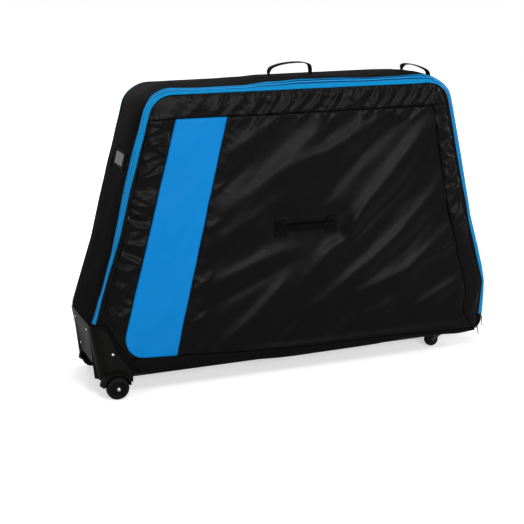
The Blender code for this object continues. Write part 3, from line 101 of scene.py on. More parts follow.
def smoothStep(low, high, value):
    t = np.clip((np.asarray(value, float) - low) / (high - low), 0, 1)
    return t * t * (3 - 2 * t)


def bump(value, centre, width):
    # a bell-shaped swelling or dip, 1 at its centre
    return np.exp(-((value - centre) / width) ** 2)


def curveThrough(knots, value):
    # smooth interpolation through (place, height) knots
    xs, ys = np.array(knots, float).T
    value = np.clip(np.asarray(value, float), xs[0], xs[-1])
    k = np.clip(np.searchsorted(xs, value, "right") - 1, 0, len(xs) - 2)
    t = (value - xs[k]) / (xs[k + 1] - xs[k])
    t = t * t * (3 - 2 * t)
    return ys[k] * (1 - t) + ys[k + 1] * t


def runLength(points):
    # distance along a polyline at each of its points
    return np.r_[0, np.cumsum(np.linalg.norm(np.diff(points, axis=0), axis=1))]


def pointsAt(t, run, points):
    # what a polyline has at the distances t: its points, or other values given for each point
    return np.stack([np.interp(t, run, column) for column in np.transpose(points)], -1)


def unit(vectors):
    return vectors / np.linalg.norm(vectors, axis=-1, keepdims=True)


def everywhere(vector, points):
    # one direction for all points of a line
    return np.broadcast_to(np.asarray(vector, float), np.shape(points))


def circle(count):
    return np.linspace(0, 2 * math.pi, count, endpoint=False)


def lineDistance(points, line):
    # distance of 2D points to a polyline, the signed side, and the share of its length at the foot
    line = np.array(line, float)
    lengths = np.linalg.norm(np.diff(line, axis=0), axis=1)
    total = lengths.sum()
    best = np.full(len(points), 1e9)
    side = np.zeros(len(points))
    share = np.zeros(len(points))
    run = 0.0
    for a, b, length in zip(line, line[1:], lengths):
        if length < 1e-9:
            continue
        d = (b - a) / length
        rel = points - a
        t = np.clip(rel @ d, 0, length)
        gap = rel - t[:, None] * d
        dist = np.hypot(gap[:, 0], gap[:, 1])
        near = dist < best
        best[near] = dist[near]
        side[near] = np.sign(d[0] * rel[near, 1] - d[1] * rel[near, 0])
        share[near] = (run + t[near]) / total
        run += length
    return best, side, share


def gridFaces(rows, cols, wrapRows=False, wrapCols=False):
    i = np.arange(rows if wrapRows else rows - 1)
    j = np.arange(cols if wrapCols else cols - 1)
    a, b = np.meshgrid(i, j, indexing="ij")
    c, d = (a + 1) % rows, (b + 1) % cols
    quads = np.stack([a * cols + b, c * cols + b, c * cols + d, a * cols + d], -1)
    return quads.reshape(-1, 4)


def makeMesh(name, points, faces, uv=None):
    mesh = bpy.data.meshes.new(name)
    points = np.asarray(points, float).reshape(-1, 3).tolist()
    mesh.from_pydata(points, [], [list(map(int, face)) for face in faces])
    if uv is not None:
        layer = mesh.uv_layers.new(name="UVMap")
        loops = np.zeros(len(mesh.loops), int)
        mesh.loops.foreach_get("vertex_index", loops)
        layer.data.foreach_set("uv", np.asarray(uv, float).reshape(-1, 2)[loops].ravel())
    mesh.shade_smooth()
    mesh.update()
    return mesh


def addPiece(name, mesh, look, body, nodes=()):
    # body is None for a piece that lies between two bodies and is attached to neither
    piece = addObject(name, mesh)
    mesh.materials.clear()
    mesh.materials.append(materials[look])
    if body:
        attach(piece, body)
    if nodes:
        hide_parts(*nodes)
    return piece


def outwards(mesh):
    shape = bmesh.new()
    shape.from_mesh(mesh)
    bmesh.ops.recalc_face_normals(shape, faces=shape.faces)
    shape.to_mesh(mesh)
    shape.free()
    return mesh


def clothMap(along, across):
    # a piece's own map in metres
    return np.stack(np.meshgrid(along, across, indexing="ij"), -1)


def loft(name, rings, uv=None, closed=False):
    # rings: stations x section x 3, with a closed section; a closed loft joins its last station to its first
    rings = np.asarray(rings, float)
    rows, cols = rings.shape[:2]
    faces = gridFaces(rows, cols, wrapRows=closed, wrapCols=True).tolist()
    if not closed:
        faces.append(list(range(cols)))
        faces.append([(rows - 1) * cols + k for k in range(cols)][::-1])
    return outwards(makeMesh(name, rings, faces, uv))


def slab(name, outer, inner, uv):
    # a closed sheet from two grids of points with the same shape
    rows, cols = outer.shape[:2]
    count = rows * cols
    faces = gridFaces(rows, cols).tolist()
    faces += [[k + count for k in face[::-1]] for face in faces]
    edge = list(range(cols)) + [r * cols + cols - 1 for r in range(1, rows)]
    edge += [(rows - 1) * cols + k for k in range(cols - 2, -1, -1)]
    edge += [r * cols for r in range(rows - 2, 0, -1)]
    faces += [[a, b, b + count, a + count] for a, b in zip(edge, edge[1:] + edge[:1])]
    points = np.concatenate([outer.reshape(-1, 3), inner.reshape(-1, 3)])
    return outwards(makeMesh(name, points, faces, np.concatenate([uv.reshape(-1, 2)] * 2)))


# body outline, seen from the front
bodyShape = {
    "depth": 0.244,
    "edgeRadius": 0.024,
    "foam": 0.010,
    "base": 0.050,
    # X, Z and radius of the right half's corners, from the foot up
    "corners": [(0.613, 0.050, 0.030), (0.626, 0.212, 0.060), (0.5615, 0.407, 0.150), (0.4515, 0.848, 0.090)],
    "footLeft": 0.600,
    "gussetSeam": 0.335,
    "zipBegin": 0.100,
    "panelCut": 0.2135,
    "hinge": 0.0563,  # Z of the front panel's fabric hinge
    "layerGap": 0.0003,  # between sewn layers
    "topFade": (0.79, 0.838),  # Z where the ends' wave hands over to the top's
}
halfDepth = bodyShape["depth"] / 2
edgeRadius = bodyShape["edgeRadius"]
edgeStart = halfDepth - edgeRadius
hinge = bodyShape["hinge"]
layerGap = bodyShape["layerGap"]


def outlineStations(corners, step=math.radians(3)):
    points, normals = [], []
    for k, (x, z, radius) in enumerate(corners):
        here = Vector((x, z))
        arrive = (here - Vector(corners[k - 1][:2])).normalized()
        leave = (Vector(corners[(k + 1) % len(corners)][:2]) - here).normalized()
        turn = math.atan2(arrive.x * leave.y - arrive.y * leave.x, arrive.dot(leave))
        side = 1 if turn >= 0 else -1
        left = Vector((-arrive.y, arrive.x))
        centre = here - arrive * radius * math.tan(abs(turn) / 2) + left * radius * side
        steps = max(1, math.ceil(abs(turn) / step))
        for n in range(steps + 1):
            inward = left.copy()
            inward.rotate(Matrix.Rotation(turn * n / steps, 2))
            points.append(centre - inward * radius * side)
            normals.append(inward)
    return np.array(points), np.array(normals)


class Line:
    # a line in the XZ plane with inward normals, measured by its length
    def __init__(self, points, normals):
        keep = np.r_[True, np.linalg.norm(np.diff(points, axis=0), axis=1) > 1e-7]
        self.points, self.normals = points[keep], normals[keep]
        self.run = runLength(self.points)
        self.length = self.run[-1]

    def at(self, s):
        return pointsAt(s, self.run, self.points), unit(pointsAt(s, self.run, self.normals))

    def where(self, axis, value, right):
        # length at which the line passes a value of X (0) or Z (1) on the right or left half
        s = np.linspace(0, self.length, 20001)
        p, _ = self.at(s)
        half = (p[:, 0] > 0) == right if axis == 1 else p[:, 1] > 0.5
        miss = np.where(half, np.abs(p[:, axis] - value), 9)
        return s[miss.argmin()]

    def inset(self, distance):
        return self.points + self.normals * distance


rightCorners = bodyShape["corners"]
leftCorners = [(-x, z, r) for x, z, r in reversed(rightCorners[1:])]
footCorner = (-bodyShape["footLeft"], bodyShape["base"], rightCorners[0][2])
outline = Line(*outlineStations(rightCorners + leftCorners + [footCorner]))
zipBegin = outline.where(1, bodyShape["zipBegin"], True)
zipStop = outline.where(1, bodyShape["panelCut"], False)
seamRight = outline.where(0, bodyShape["gussetSeam"], True)
seamLeft = outline.where(0, -bodyShape["gussetSeam"], False)

# how far the soft edge stands off the plain outline, by X on the top and Z on the ends
edgeWaves = {
    "frontTop": [(-0.47, -0.002), (-0.41, -0.008), (-0.30, -0.011), (-0.18, -0.010), (-0.09, -0.003),
                 (-0.01, 0.003), (0.09, 0.003), (0.20, -0.001), (0.28, 0.001), (0.34, 0.003),
                 (0.42, -0.002), (0.46, 0)],
    "frontLeft": [(0.05, 0), (0.19, -0.003), (0.235, -0.006), (0.30, -0.003), (0.40, 0.001), (0.52, 0),
                  (0.66, 0.001), (0.76, -0.004), (0.82, -0.006)],
    "frontRight": [(0.05, 0.001), (0.11, 0.005), (0.16, 0.002), (0.215, -0.004), (0.265, 0.002),
                   (0.33, 0.005), (0.40, 0.006), (0.50, 0.008), (0.62, 0.010), (0.76, 0.011), (0.82, 0.008)],
    "backTop": [(-0.48, -0.008), (-0.43, -0.014), (-0.37, -0.013), (-0.29, -0.011), (-0.20, -0.010),
                (-0.12, -0.008), (-0.05, -0.004), (0.12, -0.003), (0.30, -0.002), (0.42, -0.004), (0.46, 0)],
    "backLeft": [(0.05, 0), (0.50, 0), (0.60, -0.002), (0.70, -0.006), (0.76, -0.009), (0.82, -0.010)],
    "backRight": [(0.05, 0), (0.40, 0.002), (0.76, 0.004), (0.82, 0.003)],
}


def roundOutline(curves, line, p, fade):
    # a value along the outline: by X on the top and by Z on the ends, handed over within a band of Z
    onTop = smoothStep(*fade, p[:, 1])
    ends = np.where(p[:, 0] < 0, curveThrough(curves[line + "Left"], p[:, 1]),
                    curveThrough(curves[line + "Right"], p[:, 1]))
    return curveThrough(curves[line + "Top"], p[:, 0]) * onTop + ends * (1 - onTop)


def edgeWave(p, line="front"):
    return roundOutline(edgeWaves, line, p, bodyShape["topFade"])


def stations(begin, stop, spacing):
    s = np.linspace(begin, stop, max(2, int(round((stop - begin) / spacing)) + 1))
    p, n = outline.at(s)
    return s, p, n


def place(p, n, inset, y):
    # points from stations, insets and depths: stations x section x 3
    inset, y = np.broadcast_arrays(inset, y)
    x = p[:, None, 0] + n[:, None, 0] * inset
    z = p[:, None, 1] + n[:, None, 1] * inset
    return np.stack([x, np.broadcast_to(y, x.shape), z], -1)


# shader groups and materials
def setInputs(node, values):
    # sets numbers and colours, and links what comes from another node
    for label, value in values.items():
        if isinstance(value, bpy.types.NodeSocket):
            node.id_data.links.new(value, node.inputs[label])
        else:
            node.inputs[label].default_value = value


def addNode(tree, kind, values, **settings):
    node = tree.nodes.new(kind)
    for label, value in settings.items():
        setattr(node, label, value)
    setInputs(node, values)
    return node


def patternGroup(name, settings, results):
    # a group that reads a place and two settings and gives two values
    group = bpy.data.node_groups.new(name, "ShaderNodeTree")
    face = group.interface
    face.new_socket("Vector", in_out="INPUT", socket_type="NodeSocketVector")
    for label, value in settings.items():
        face.new_socket(label, in_out="INPUT", socket_type="NodeSocketFloat").default_value = value
    for label in results:
        face.new_socket(label, in_out="OUTPUT", socket_type="NodeSocketFloat")
    return group, group.nodes.new("NodeGroupInput").outputs, group.nodes.new("NodeGroupOutput")


def mathNode(tree, operation, *values):
    return addNode(tree, "ShaderNodeMath", dict(enumerate(values)), operation=operation).outputs[0]


def noiseNode(tree, vector, scale, detail, roughness):
    values = {"Vector": vector, "Scale": scale, "Detail": detail, "Roughness": roughness}
    return addNode(tree, "ShaderNodeTexNoise", values).outputs["Fac"]


def splitVector(tree, vector):
    return addNode(tree, "ShaderNodeSeparateXYZ", {"Vector": vector}).outputs


def makeWeave():
    # plain weave: two sets of threads that pass over each other, read from a map in metres
    settings = {"Threads": 1100.0, "Slub": 0.3}
    group, inside, outside = patternGroup("wovenThreads", settings, ("Height", "Shade"))
    axes = splitVector(group, inside["Vector"])
    angle = mathNode(group, "MULTIPLY", inside["Threads"], math.pi)
    u = mathNode(group, "MULTIPLY", axes[0], angle)
    v = mathNode(group, "MULTIPLY", axes[1], angle)
    warp = mathNode(group, "ABSOLUTE", mathNode(group, "SINE", u))
    weft = mathNode(group, "ABSOLUTE", mathNode(group, "SINE", v))
    over = mathNode(group, "MULTIPLY", mathNode(group, "COSINE", u), mathNode(group, "COSINE", v))
    over = mathNode(group, "MULTIPLY_ADD", over, 0.5, 0.5)
    seenWarp = mathNode(group, "MULTIPLY", warp, over)
    seenWeft = mathNode(group, "MULTIPLY", weft, mathNode(group, "SUBTRACT", 1.0, over))
    crossing = mathNode(group, "ADD", seenWarp, seenWeft)
    thread = mathNode(group, "SUBTRACT", noiseNode(group, inside["Vector"], 90.0, 3.0, 0.7), 0.5)
    slub = mathNode(group, "MULTIPLY", thread, inside["Slub"])
    # Shade: painted shade, darker in the gaps where the threads dip
    setInputs(outside, {"Height": mathNode(group, "ADD", crossing, slub),
                        "Shade": mathNode(group, "MULTIPLY_ADD", crossing, 0.5, 0.5)})
    return group


def makeRibs():
    # webbing: ribs that run across the band, with a herringbone lean
    ribWidth = 0.0016
    group, inside, outside = patternGroup("webbingRibs", {"Ribs": 620.0, "Lean": 0.6}, ("Height", "Shade"))
    axes = splitVector(group, inside["Vector"])
    across = mathNode(group, "PINGPONG", axes[1], ribWidth)
    along = mathNode(group, "MULTIPLY_ADD", across, inside["Lean"], axes[0])
    angle = mathNode(group, "MULTIPLY", along, mathNode(group, "MULTIPLY", inside["Ribs"], 2 * math.pi))
    rib = mathNode(group, "MULTIPLY_ADD", mathNode(group, "SINE", angle), 0.5, 0.5)
    column = mathNode(group, "MULTIPLY", across, 1 / ribWidth)
    # Shade: painted shade, darker in the troughs between the ribs
    setInputs(outside, {"Height": mathNode(group, "ADD", rib, column),
                        "Shade": mathNode(group, "MULTIPLY_ADD", rib, 0.4, 0.6)})
    return group


def peaksOnly(group, value, threshold):
    return mathNode(group, "MAXIMUM", mathNode(group, "SUBTRACT", value, threshold), 0.0)


def makeGrain():
    # fine spark-eroded grain of a moulding, with long faint scuffs
    group, inside, outside = patternGroup("mouldGrain", {"Grain": 900.0, "Scuff": 0.2}, ("Height", "Scuffs"))
    fine = noiseNode(group, inside["Vector"], inside["Grain"], 2.0, 0.6)
    squeeze = addNode(group, "ShaderNodeVectorMath", {0: inside["Vector"], 1: (90.0, 90.0, 14.0)},
                      operation="MULTIPLY")
    marks = noiseNode(group, squeeze.outputs[0], 1.0, 4.0, 0.7)
    sharp = mathNode(group, "MULTIPLY", peaksOnly(group, marks, 0.60), 5.0)
    setInputs(outside, {"Height": fine, "Scuffs": mathNode(group, "MULTIPLY", sharp, inside["Scuff"])})
    return group


def makeMottle():
    # slow changes of tone: handling marks, dust and uneven dye
    group, inside, outside = patternGroup("softMottle", {"Size": 9.0, "Strength": 0.3}, ("Factor", "Dust"))
    slow = noiseNode(group, inside["Vector"], inside["Size"], 4.0, 0.6)
    change = mathNode(group, "SUBTRACT", slow, 0.5)
    specks = noiseNode(group, inside["Vector"], 420.0, 3.0, 0.8)
    patches = mathNode(group, "MULTIPLY", slow, 3.0)
    dust = mathNode(group, "MULTIPLY", peaksOnly(group, specks, 0.66), patches)
    factor = mathNode(group, "MULTIPLY_ADD", change, inside["Strength"], 1.0)
    setInputs(outside, {"Factor": factor, "Dust": dust})
    return group


shaderGroups = {"weave": makeWeave(), "ribs": makeRibs(), "grain": makeGrain(), "mottle": makeMottle()}


def placeGroup(tree, pattern, vector):
    node = tree.nodes.new("ShaderNodeGroup")
    node.node_tree = shaderGroups[pattern]
    setInputs(node, {"Vector": vector})
    return node


def mixNode(tree, blend, values):
    mixed = addNode(tree, "ShaderNodeMix", {}, data_type="RGBA", blend_type=blend)
    setInputs(mixed, values)
    return mixed.outputs["Result"]


dustColour = (0.16, 0.155, 0.15, 1.0)


def makeMaterial(name, look):
    # look: colour, rough, pattern (weave, ribs or grain), patternScale, relief in metres, and options
    material = bpy.data.materials.new(name)
    material.use_nodes = True
    tree = material.node_tree
    coordinates = tree.nodes.new("ShaderNodeTexCoord").outputs
    pattern = look.get("pattern", "grain")
    mottle = placeGroup(tree, "mottle", coordinates["Object"])
    setInputs(mottle, {"Size": look.get("mottleSize", 9.0), "Strength": look.get("mottle", 0.3)})
    texture = placeGroup(tree, pattern, coordinates["Object" if pattern == "grain" else "UV"])
    texture.inputs[1].default_value = look["patternScale"]
    texture.inputs[2].default_value = look.get("patternDetail", texture.inputs[2].default_value)
    tone, wear = mottle.outputs["Factor"], mottle.outputs["Dust"]
    if pattern == "grain":
        wear = mathNode(tree, "ADD", wear, texture.outputs["Scuffs"])
    else:
        # the weave's or ribs' painted shade darkens the colour between threads and ribs
        share = look.get("patternShade", 0.35)
        threadShade = mathNode(tree, "MULTIPLY_ADD", texture.outputs["Shade"], share, 1.0 - share)
        tone = mathNode(tree, "MULTIPLY", tone, threadShade)
    tint = mixNode(tree, "MULTIPLY", {"Factor": 1.0, "A": (*look["colour"], 1.0), "B": tone})
    dust = mathNode(tree, "MULTIPLY", wear, look.get("dust", 0.25))
    rough = mathNode(tree, "MULTIPLY", mottle.outputs["Factor"], look["rough"])
    relief = addNode(tree, "ShaderNodeBump", {"Strength": look.get("bump", 0.5), "Distance": look["relief"],
                                              "Height": texture.outputs["Height"]})
    setInputs(tree.nodes["Principled BSDF"], {
        "Base Color": mixNode(tree, "MIX", {"Factor": dust, "A": tint, "B": dustColour}),
        "Roughness": mathNode(tree, "MINIMUM", rough, 1.0), "Normal": relief.outputs["Normal"],
        "Metallic": look.get("metal", 0.0), "Specular IOR Level": look.get("specular", 0.5)})
    return material
looks = {
    "glossCloth": {"slot": "panel_cloth", "colour": (0.0020, 0.0019, 0.0021), "rough": 0.26,
                   "pattern": "weave", "patternScale": 1250.0, "relief": 0.00015, "specular": 0.065,
                   "mottle": 0.18, "dust": 0.02},
    "paddedCloth": {"slot": "black_cloth", "colour": (0.0058, 0.0055, 0.0055), "rough": 0.75,
                    "pattern": "weave", "patternScale": 900.0, "relief": 0.00030, "specular": 0.006,
                    "mottle": 0.30, "dust": 0.06},
    "blueCloth": {"slot": "blue_cloth", "colour": (0.0004, 0.195, 0.540), "rough": 0.40, "pattern": "weave",
                  "patternScale": 1250.0, "relief": 0.00018, "specular": 0.07, "mottle": 0.10, "dust": 0.02,
                  "patternShade": 0.20},
    "blueTape": {"slot": "blue_tape", "colour": (0.002, 0.225, 0.510), "rough": 0.55, "pattern": "ribs",
                 "patternScale": 900.0, "relief": 0.00025, "specular": 0.06, "mottle": 0.15, "dust": 0.03,
                 "patternShade": 0.30},
    # the tape's blue darkened: painted shade for the channel beside the coil
    "blueShade": {"slot": "blue_tape", "colour": (0.0005, 0.060, 0.170), "rough": 0.60, "pattern": "ribs",
                  "patternScale": 900.0, "relief": 0.00025, "specular": 0.08, "mottle": 0.15, "dust": 0.02,
                  "patternShade": 0.30},
    # the tape's blue lightened: painted highlight on the coil
    "paintedHighlightCoilBlue": {"slot": "blue_tape", "colour": (0.006, 0.330, 0.720), "rough": 0.32, "patternScale": 2500.0,
                 "relief": 0.00004, "specular": 0.25, "mottle": 0.10, "dust": 0.02},
    "blueThread": {"slot": "blue_tape", "colour": (0.003, 0.180, 0.520), "rough": 0.50,
                   "patternScale": 2500.0, "relief": 0.00005, "mottle": 0.15, "dust": 0.02},
    "blackThread": {"slot": "black_webbing", "colour": (0.011, 0.011, 0.012), "rough": 0.55, "specular": 0.15,
                    "patternScale": 2500.0, "relief": 0.00005, "mottle": 0.20, "dust": 0.05},
    "webbing": {"slot": "black_webbing", "colour": (0.0048, 0.0048, 0.0050), "rough": 0.78, "pattern": "ribs",
                "patternScale": 560.0, "relief": 0.00050, "bump": 0.8, "specular": 0.01, "mottle": 0.25,
                "dust": 0.05},
    "webbingGrain": {"slot": "black_webbing", "colour": (0.010, 0.010, 0.0105), "rough": 0.65,
                     "patternScale": 1800.0, "relief": 0.0003, "mottle": 0.25, "dust": 0.15},
    "pocketNet": {"slot": "mesh_pocket", "colour": (0.020, 0.020, 0.022), "rough": 0.7,
                  "pattern": "weave", "patternScale": 900.0, "relief": 0.0003, "mottle": 0.2,
                  "netScale": 260.0, "netThread": 0.20},
    "housing": {"slot": "housing_plastic", "colour": (0.0036, 0.0033, 0.0030), "rough": 0.46,
                "patternScale": 1100.0, "relief": 0.00012, "specular": 0.05, "mottle": 0.18, "dust": 0.04,
                "patternDetail": 0.25},
    "basePlastic": {"slot": "base_plastic", "colour": (0.0075, 0.0075, 0.0075), "rough": 0.52,
                    "specular": 0.2, "patternScale": 700.0, "relief": 0.0002, "mottle": 0.20, "dust": 0.35,
                    "patternDetail": 0.7},
    "tyre": {"slot": "tyre_rubber", "colour": (0.0042, 0.0042, 0.0042), "rough": 0.50, "patternScale": 1500.0,
             "relief": 0.00010, "specular": 0.07, "mottle": 0.30, "dust": 0.08, "patternDetail": 0.4},
    "padRubber": {"slot": "pad_rubber", "colour": (0.0110, 0.0110, 0.0110), "rough": 0.74, "specular": 0.2,
                  "patternScale": 800.0, "relief": 0.0003, "mottle": 0.25, "dust": 0.30},
    "blackSteel": {"slot": "steel", "colour": (0.0065, 0.0065, 0.0065), "rough": 0.40, "patternScale": 1400.0,
                   "relief": 0.00004, "specular": 0.30, "mottle": 0.20, "dust": 0.08},
    "darkSteel": {"slot": "steel", "colour": (0.060, 0.062, 0.066), "rough": 0.34, "metal": 1.0,
                  "patternScale": 900.0, "relief": 0.00004, "mottle": 0.25, "dust": 0.12, "mottleSize": 60.0},
    "zinc": {"slot": "steel", "colour": (0.560, 0.560, 0.570), "rough": 0.30, "metal": 1.0,
             "patternScale": 600.0, "relief": 0.00004, "mottle": 0.25, "dust": 0.10, "mottleSize": 60.0},
    "anodised": {"slot": "aluminium", "colour": (0.640, 0.640, 0.660), "rough": 0.36, "metal": 1.0,
                 "patternScale": 1500.0, "relief": 0.00005, "mottle": 0.15, "dust": 0.06, "mottleSize": 30.0},
    "foamBoard": {"slot": "foam_board", "colour": (0.045, 0.045, 0.048), "rough": 0.85, "patternScale": 500.0,
                  "relief": 0.0004, "mottle": 0.20, "dust": 0.20},
    "windowFilm": {"slot": "window_film", "colour": (0.095, 0.095, 0.100), "rough": 0.40,
                   "patternScale": 60.0, "relief": 0.0004, "bump": 0.25, "specular": 0.25, "mottle": 0.12,
                   "dust": 0.05},
}
materials = {name: makeMaterial(name, look) for name, look in looks.items()}


def openNet(tree, look):
    # open hexagon-like holes between knitted threads
    place = tree.nodes.new("ShaderNodeTexCoord").outputs["UV"]
    cells = addNode(tree, "ShaderNodeTexVoronoi", {}, feature="DISTANCE_TO_EDGE")
    setInputs(cells, {"Vector": place, "Scale": look["netScale"], "Randomness": 0.12})
    thread = mathNode(tree, "LESS_THAN", cells.outputs["Distance"], look["netThread"])
    setInputs(tree.nodes["Principled BSDF"], {"Alpha": thread})


openNet(materials["pocketNet"].node_tree, looks["pocketNet"])
print("materials made:", len(materials))


# beads and stitches, made by one geometry nodes tree
beadSizes = {"Bead Length": 0.003, "Bead Width": 0.001, "Bead Height": 0.0008, "Lift": 0.0}


def beadTree():
    # places a rounded bead on every point of a mesh, turned by the point's own along and outward vectors
    tree = bpy.data.node_groups.new("beadRow", "GeometryNodeTree")
    face = tree.interface
    face.new_socket("Geometry", in_out="INPUT", socket_type="NodeSocketGeometry")
    for label, value in beadSizes.items():
        face.new_socket(label, in_out="INPUT", socket_type="NodeSocketFloat").default_value = value
    face.new_socket("Bead Material", in_out="INPUT", socket_type="NodeSocketMaterial")
    face.new_socket("Geometry", in_out="OUTPUT", socket_type="NodeSocketGeometry")
    inside = tree.nodes.new("NodeGroupInput").outputs
    along, outward = (addNode(tree, "GeometryNodeInputNamedAttribute", {"Name": label},
                              data_type="FLOAT_VECTOR").outputs["Attribute"]
                      for label in ("along", "outward"))
    # stand the bead up along the outward vector, then turn it to the along vector
    stand = addNode(tree, "FunctionNodeAlignRotationToVector", {"Vector": outward}, axis="Z")
    turn = addNode(tree, "FunctionNodeAlignRotationToVector",
                   {"Rotation": stand.outputs["Rotation"], "Vector": along}, axis="X", pivot_axis="Z")
    lift = addNode(tree, "ShaderNodeVectorMath", {}, operation="SCALE")
    setInputs(lift, {"Vector": outward, "Scale": inside["Lift"]})
    raised = addNode(tree, "GeometryNodeSetPosition",
                     {"Geometry": inside["Geometry"], "Offset": lift.outputs[0]})
    ball = addNode(tree, "GeometryNodeMeshIcoSphere", {"Radius": 0.5, "Subdivisions": 2})
    size = addNode(tree, "ShaderNodeCombineXYZ", dict(zip("XYZ", (inside[label] for label in beadSizes))))
    spread = addNode(tree, "GeometryNodeInstanceOnPoints",
                     {"Points": raised.outputs["Geometry"], "Instance": ball.outputs["Mesh"],
                      "Rotation": turn.outputs["Rotation"], "Scale": size.outputs[0]})
    real = addNode(tree, "GeometryNodeRealizeInstances", {"Geometry": spread.outputs["Instances"]})
    soft = addNode(tree, "GeometryNodeSetShadeSmooth", {"Geometry": real.outputs["Geometry"]})
    paint = addNode(tree, "GeometryNodeSetMaterial",
                    {"Geometry": soft.outputs["Geometry"], "Material": inside["Bead Material"]})
    addNode(tree, "NodeGroupOutput", {"Geometry": paint.outputs["Geometry"]})
    return tree


beads = beadTree()
socketIds = {item.name: item.identifier for item in beads.interface.items_tree if item.in_out == "INPUT"}


def beadRow(name, points, along, outward, size, lift, look, body):
    mesh = bpy.data.meshes.new(name + "Points")
    mesh.from_pydata(np.asarray(points).tolist(), [], [])
    vectors = {"along": along, "outward": outward}
    for label, values in vectors.items():
        data = mesh.attributes.new(label, "FLOAT_VECTOR", "POINT").data
        data.foreach_set("vector", np.asarray(values, np.float32).ravel())
    source = addObject(name + "Source", mesh)
    modifier = source.modifiers.new("beads", "NODES")
    modifier.node_group = beads
    for label, value in zip(beadSizes, (*size, lift)):
        modifier[socketIds[label]] = value
    modifier[socketIds["Bead Material"]] = materials[look]
    bpy.context.view_layer.update()
    done = bpy.data.meshes.new_from_object(source.evaluated_get(bpy.context.evaluated_depsgraph_get()))
    bpy.data.objects.remove(source)
    for label in vectors:
        if label in done.attributes:
            done.attributes.remove(done.attributes[label])
    done.name = name
    return addPiece(name, done, look, body)


def evenly(points, pitch, trim):
    # points and directions at an even pitch along a polyline
    run = runLength(points)
    t = np.arange(trim + pitch / 2, run[-1] - trim, pitch)
    ahead, behind = pointsAt(t + pitch / 4, run, points), pointsAt(t - pitch / 4, run, points)
    return pointsAt(t, run, points), unit(ahead - behind)


stitchShape = {"pitch": 0.0046, "size": (0.0034, 0.0008, 0.0006), "lift": 0.0002}


def stitches(name, lines, outward, body, lift=stitchShape["lift"]):
    # rows of stitches along lines that lie on a surface
    rows = [evenly(line, stitchShape["pitch"], stitchShape["pitch"] / 2) for line in lines]
    places, runs = (np.concatenate(part) for part in zip(*rows))
    return beadRow(name, places, runs, everywhere(outward, places), stitchShape["size"], lift, "blackThread",
                   body)


# front cloth: its seams, folds and relief, in X and Z as the front is seen
frontSeams = {
    "top": 0.760,
    "bottom": [(-0.550, 0.100), (-0.470, 0.101), (-0.388, 0.096), (-0.317, 0.091), (-0.159, 0.081),
               (-0.008, 0.0745), (0.115, 0.0730), (0.322, 0.0720), (0.430, 0.0665), (0.572, 0.0620)],
    "rightHigh": (0.408, 0.760),
    "rightLow": (0.572, hinge),
    "stripLeft": ((-0.3745, 0.760), (-0.549, 0.101)),
    "stripRight": ((-0.229, 0.760), (-0.384, 0.101)),
    "stripCorner": 0.078,  # radius of the strip's rounded lower corner
    "cornerTuck": 1.05,
    "stripBase": 0.101,
    "sew": 0.0004,  # from a seam's line to the edge of each piece
    # how far the right seam leaves its straight line, by Z
    "rightBend": [(0.056, 0.005), (0.085, -0.006), (0.123, -0.018), (0.156, -0.008), (0.170, 0.003),
                  (0.240, 0.004), (0.320, -0.002), (0.460, -0.010), (0.610, -0.006), (0.760, 0.0)],
    # the folding panel's edge beside the corner housing, with rounded corners: Z and X
    "cut": [(hinge, -0.486), (0.066, -0.4935), (0.078, -0.5035), (0.095, -0.516), (0.120, -0.5305),
            (0.160, -0.5537), (0.190, -0.571), (0.2025, -0.5785), (0.2095, -0.5850), (0.2130, -0.5945),
            (bodyShape["panelCut"], -0.6010)],
    # the lower edge, which sags below the plain base line in the middle
    "foot": [(-0.509, 0.0575), (-0.434, 0.0545), (-0.324, 0.0550), (-0.179, 0.0540), (-0.038, 0.0490),
             (0.124, 0.0500), (0.237, 0.0515), (0.300, 0.0560), (0.343, 0.0610), (0.430, 0.0560),
             (0.529, 0.0500), (0.585, 0.0530)],
}
clothFace = -halfDepth  # Y of the plain front
seamTop = frontSeams["top"]
sew = frontSeams["sew"]


def bottomSeam(x):
    return np.interp(x, *np.array(frontSeams["bottom"]).T)


def lineX(ends, z):
    (x1, z1), (x2, z2) = ends
    return x1 + (np.asarray(z) - z1) * (x2 - x1) / (z2 - z1)


def stripLeftX(z):
    # the strip's left edge with its rounded lower corner
    radius = frontSeams["stripCorner"]
    drop = np.clip((frontSeams["stripBase"] + radius - z) / radius, 0, 1)
    tuck = radius * (1 - np.sqrt(np.maximum(0.0, 1 - drop ** 2)))
    return lineX(frontSeams["stripLeft"], z) + tuck * frontSeams["cornerTuck"]


def stripRightX(z):
    return lineX(frontSeams["stripRight"], z)


def seamRightX(z):
    straight = lineX((frontSeams["rightHigh"], frontSeams["rightLow"]), z)
    return straight + curveThrough(frontSeams["rightBend"], z)


def cutX(z):
    return np.interp(z, *np.transpose(frontSeams["cut"]))


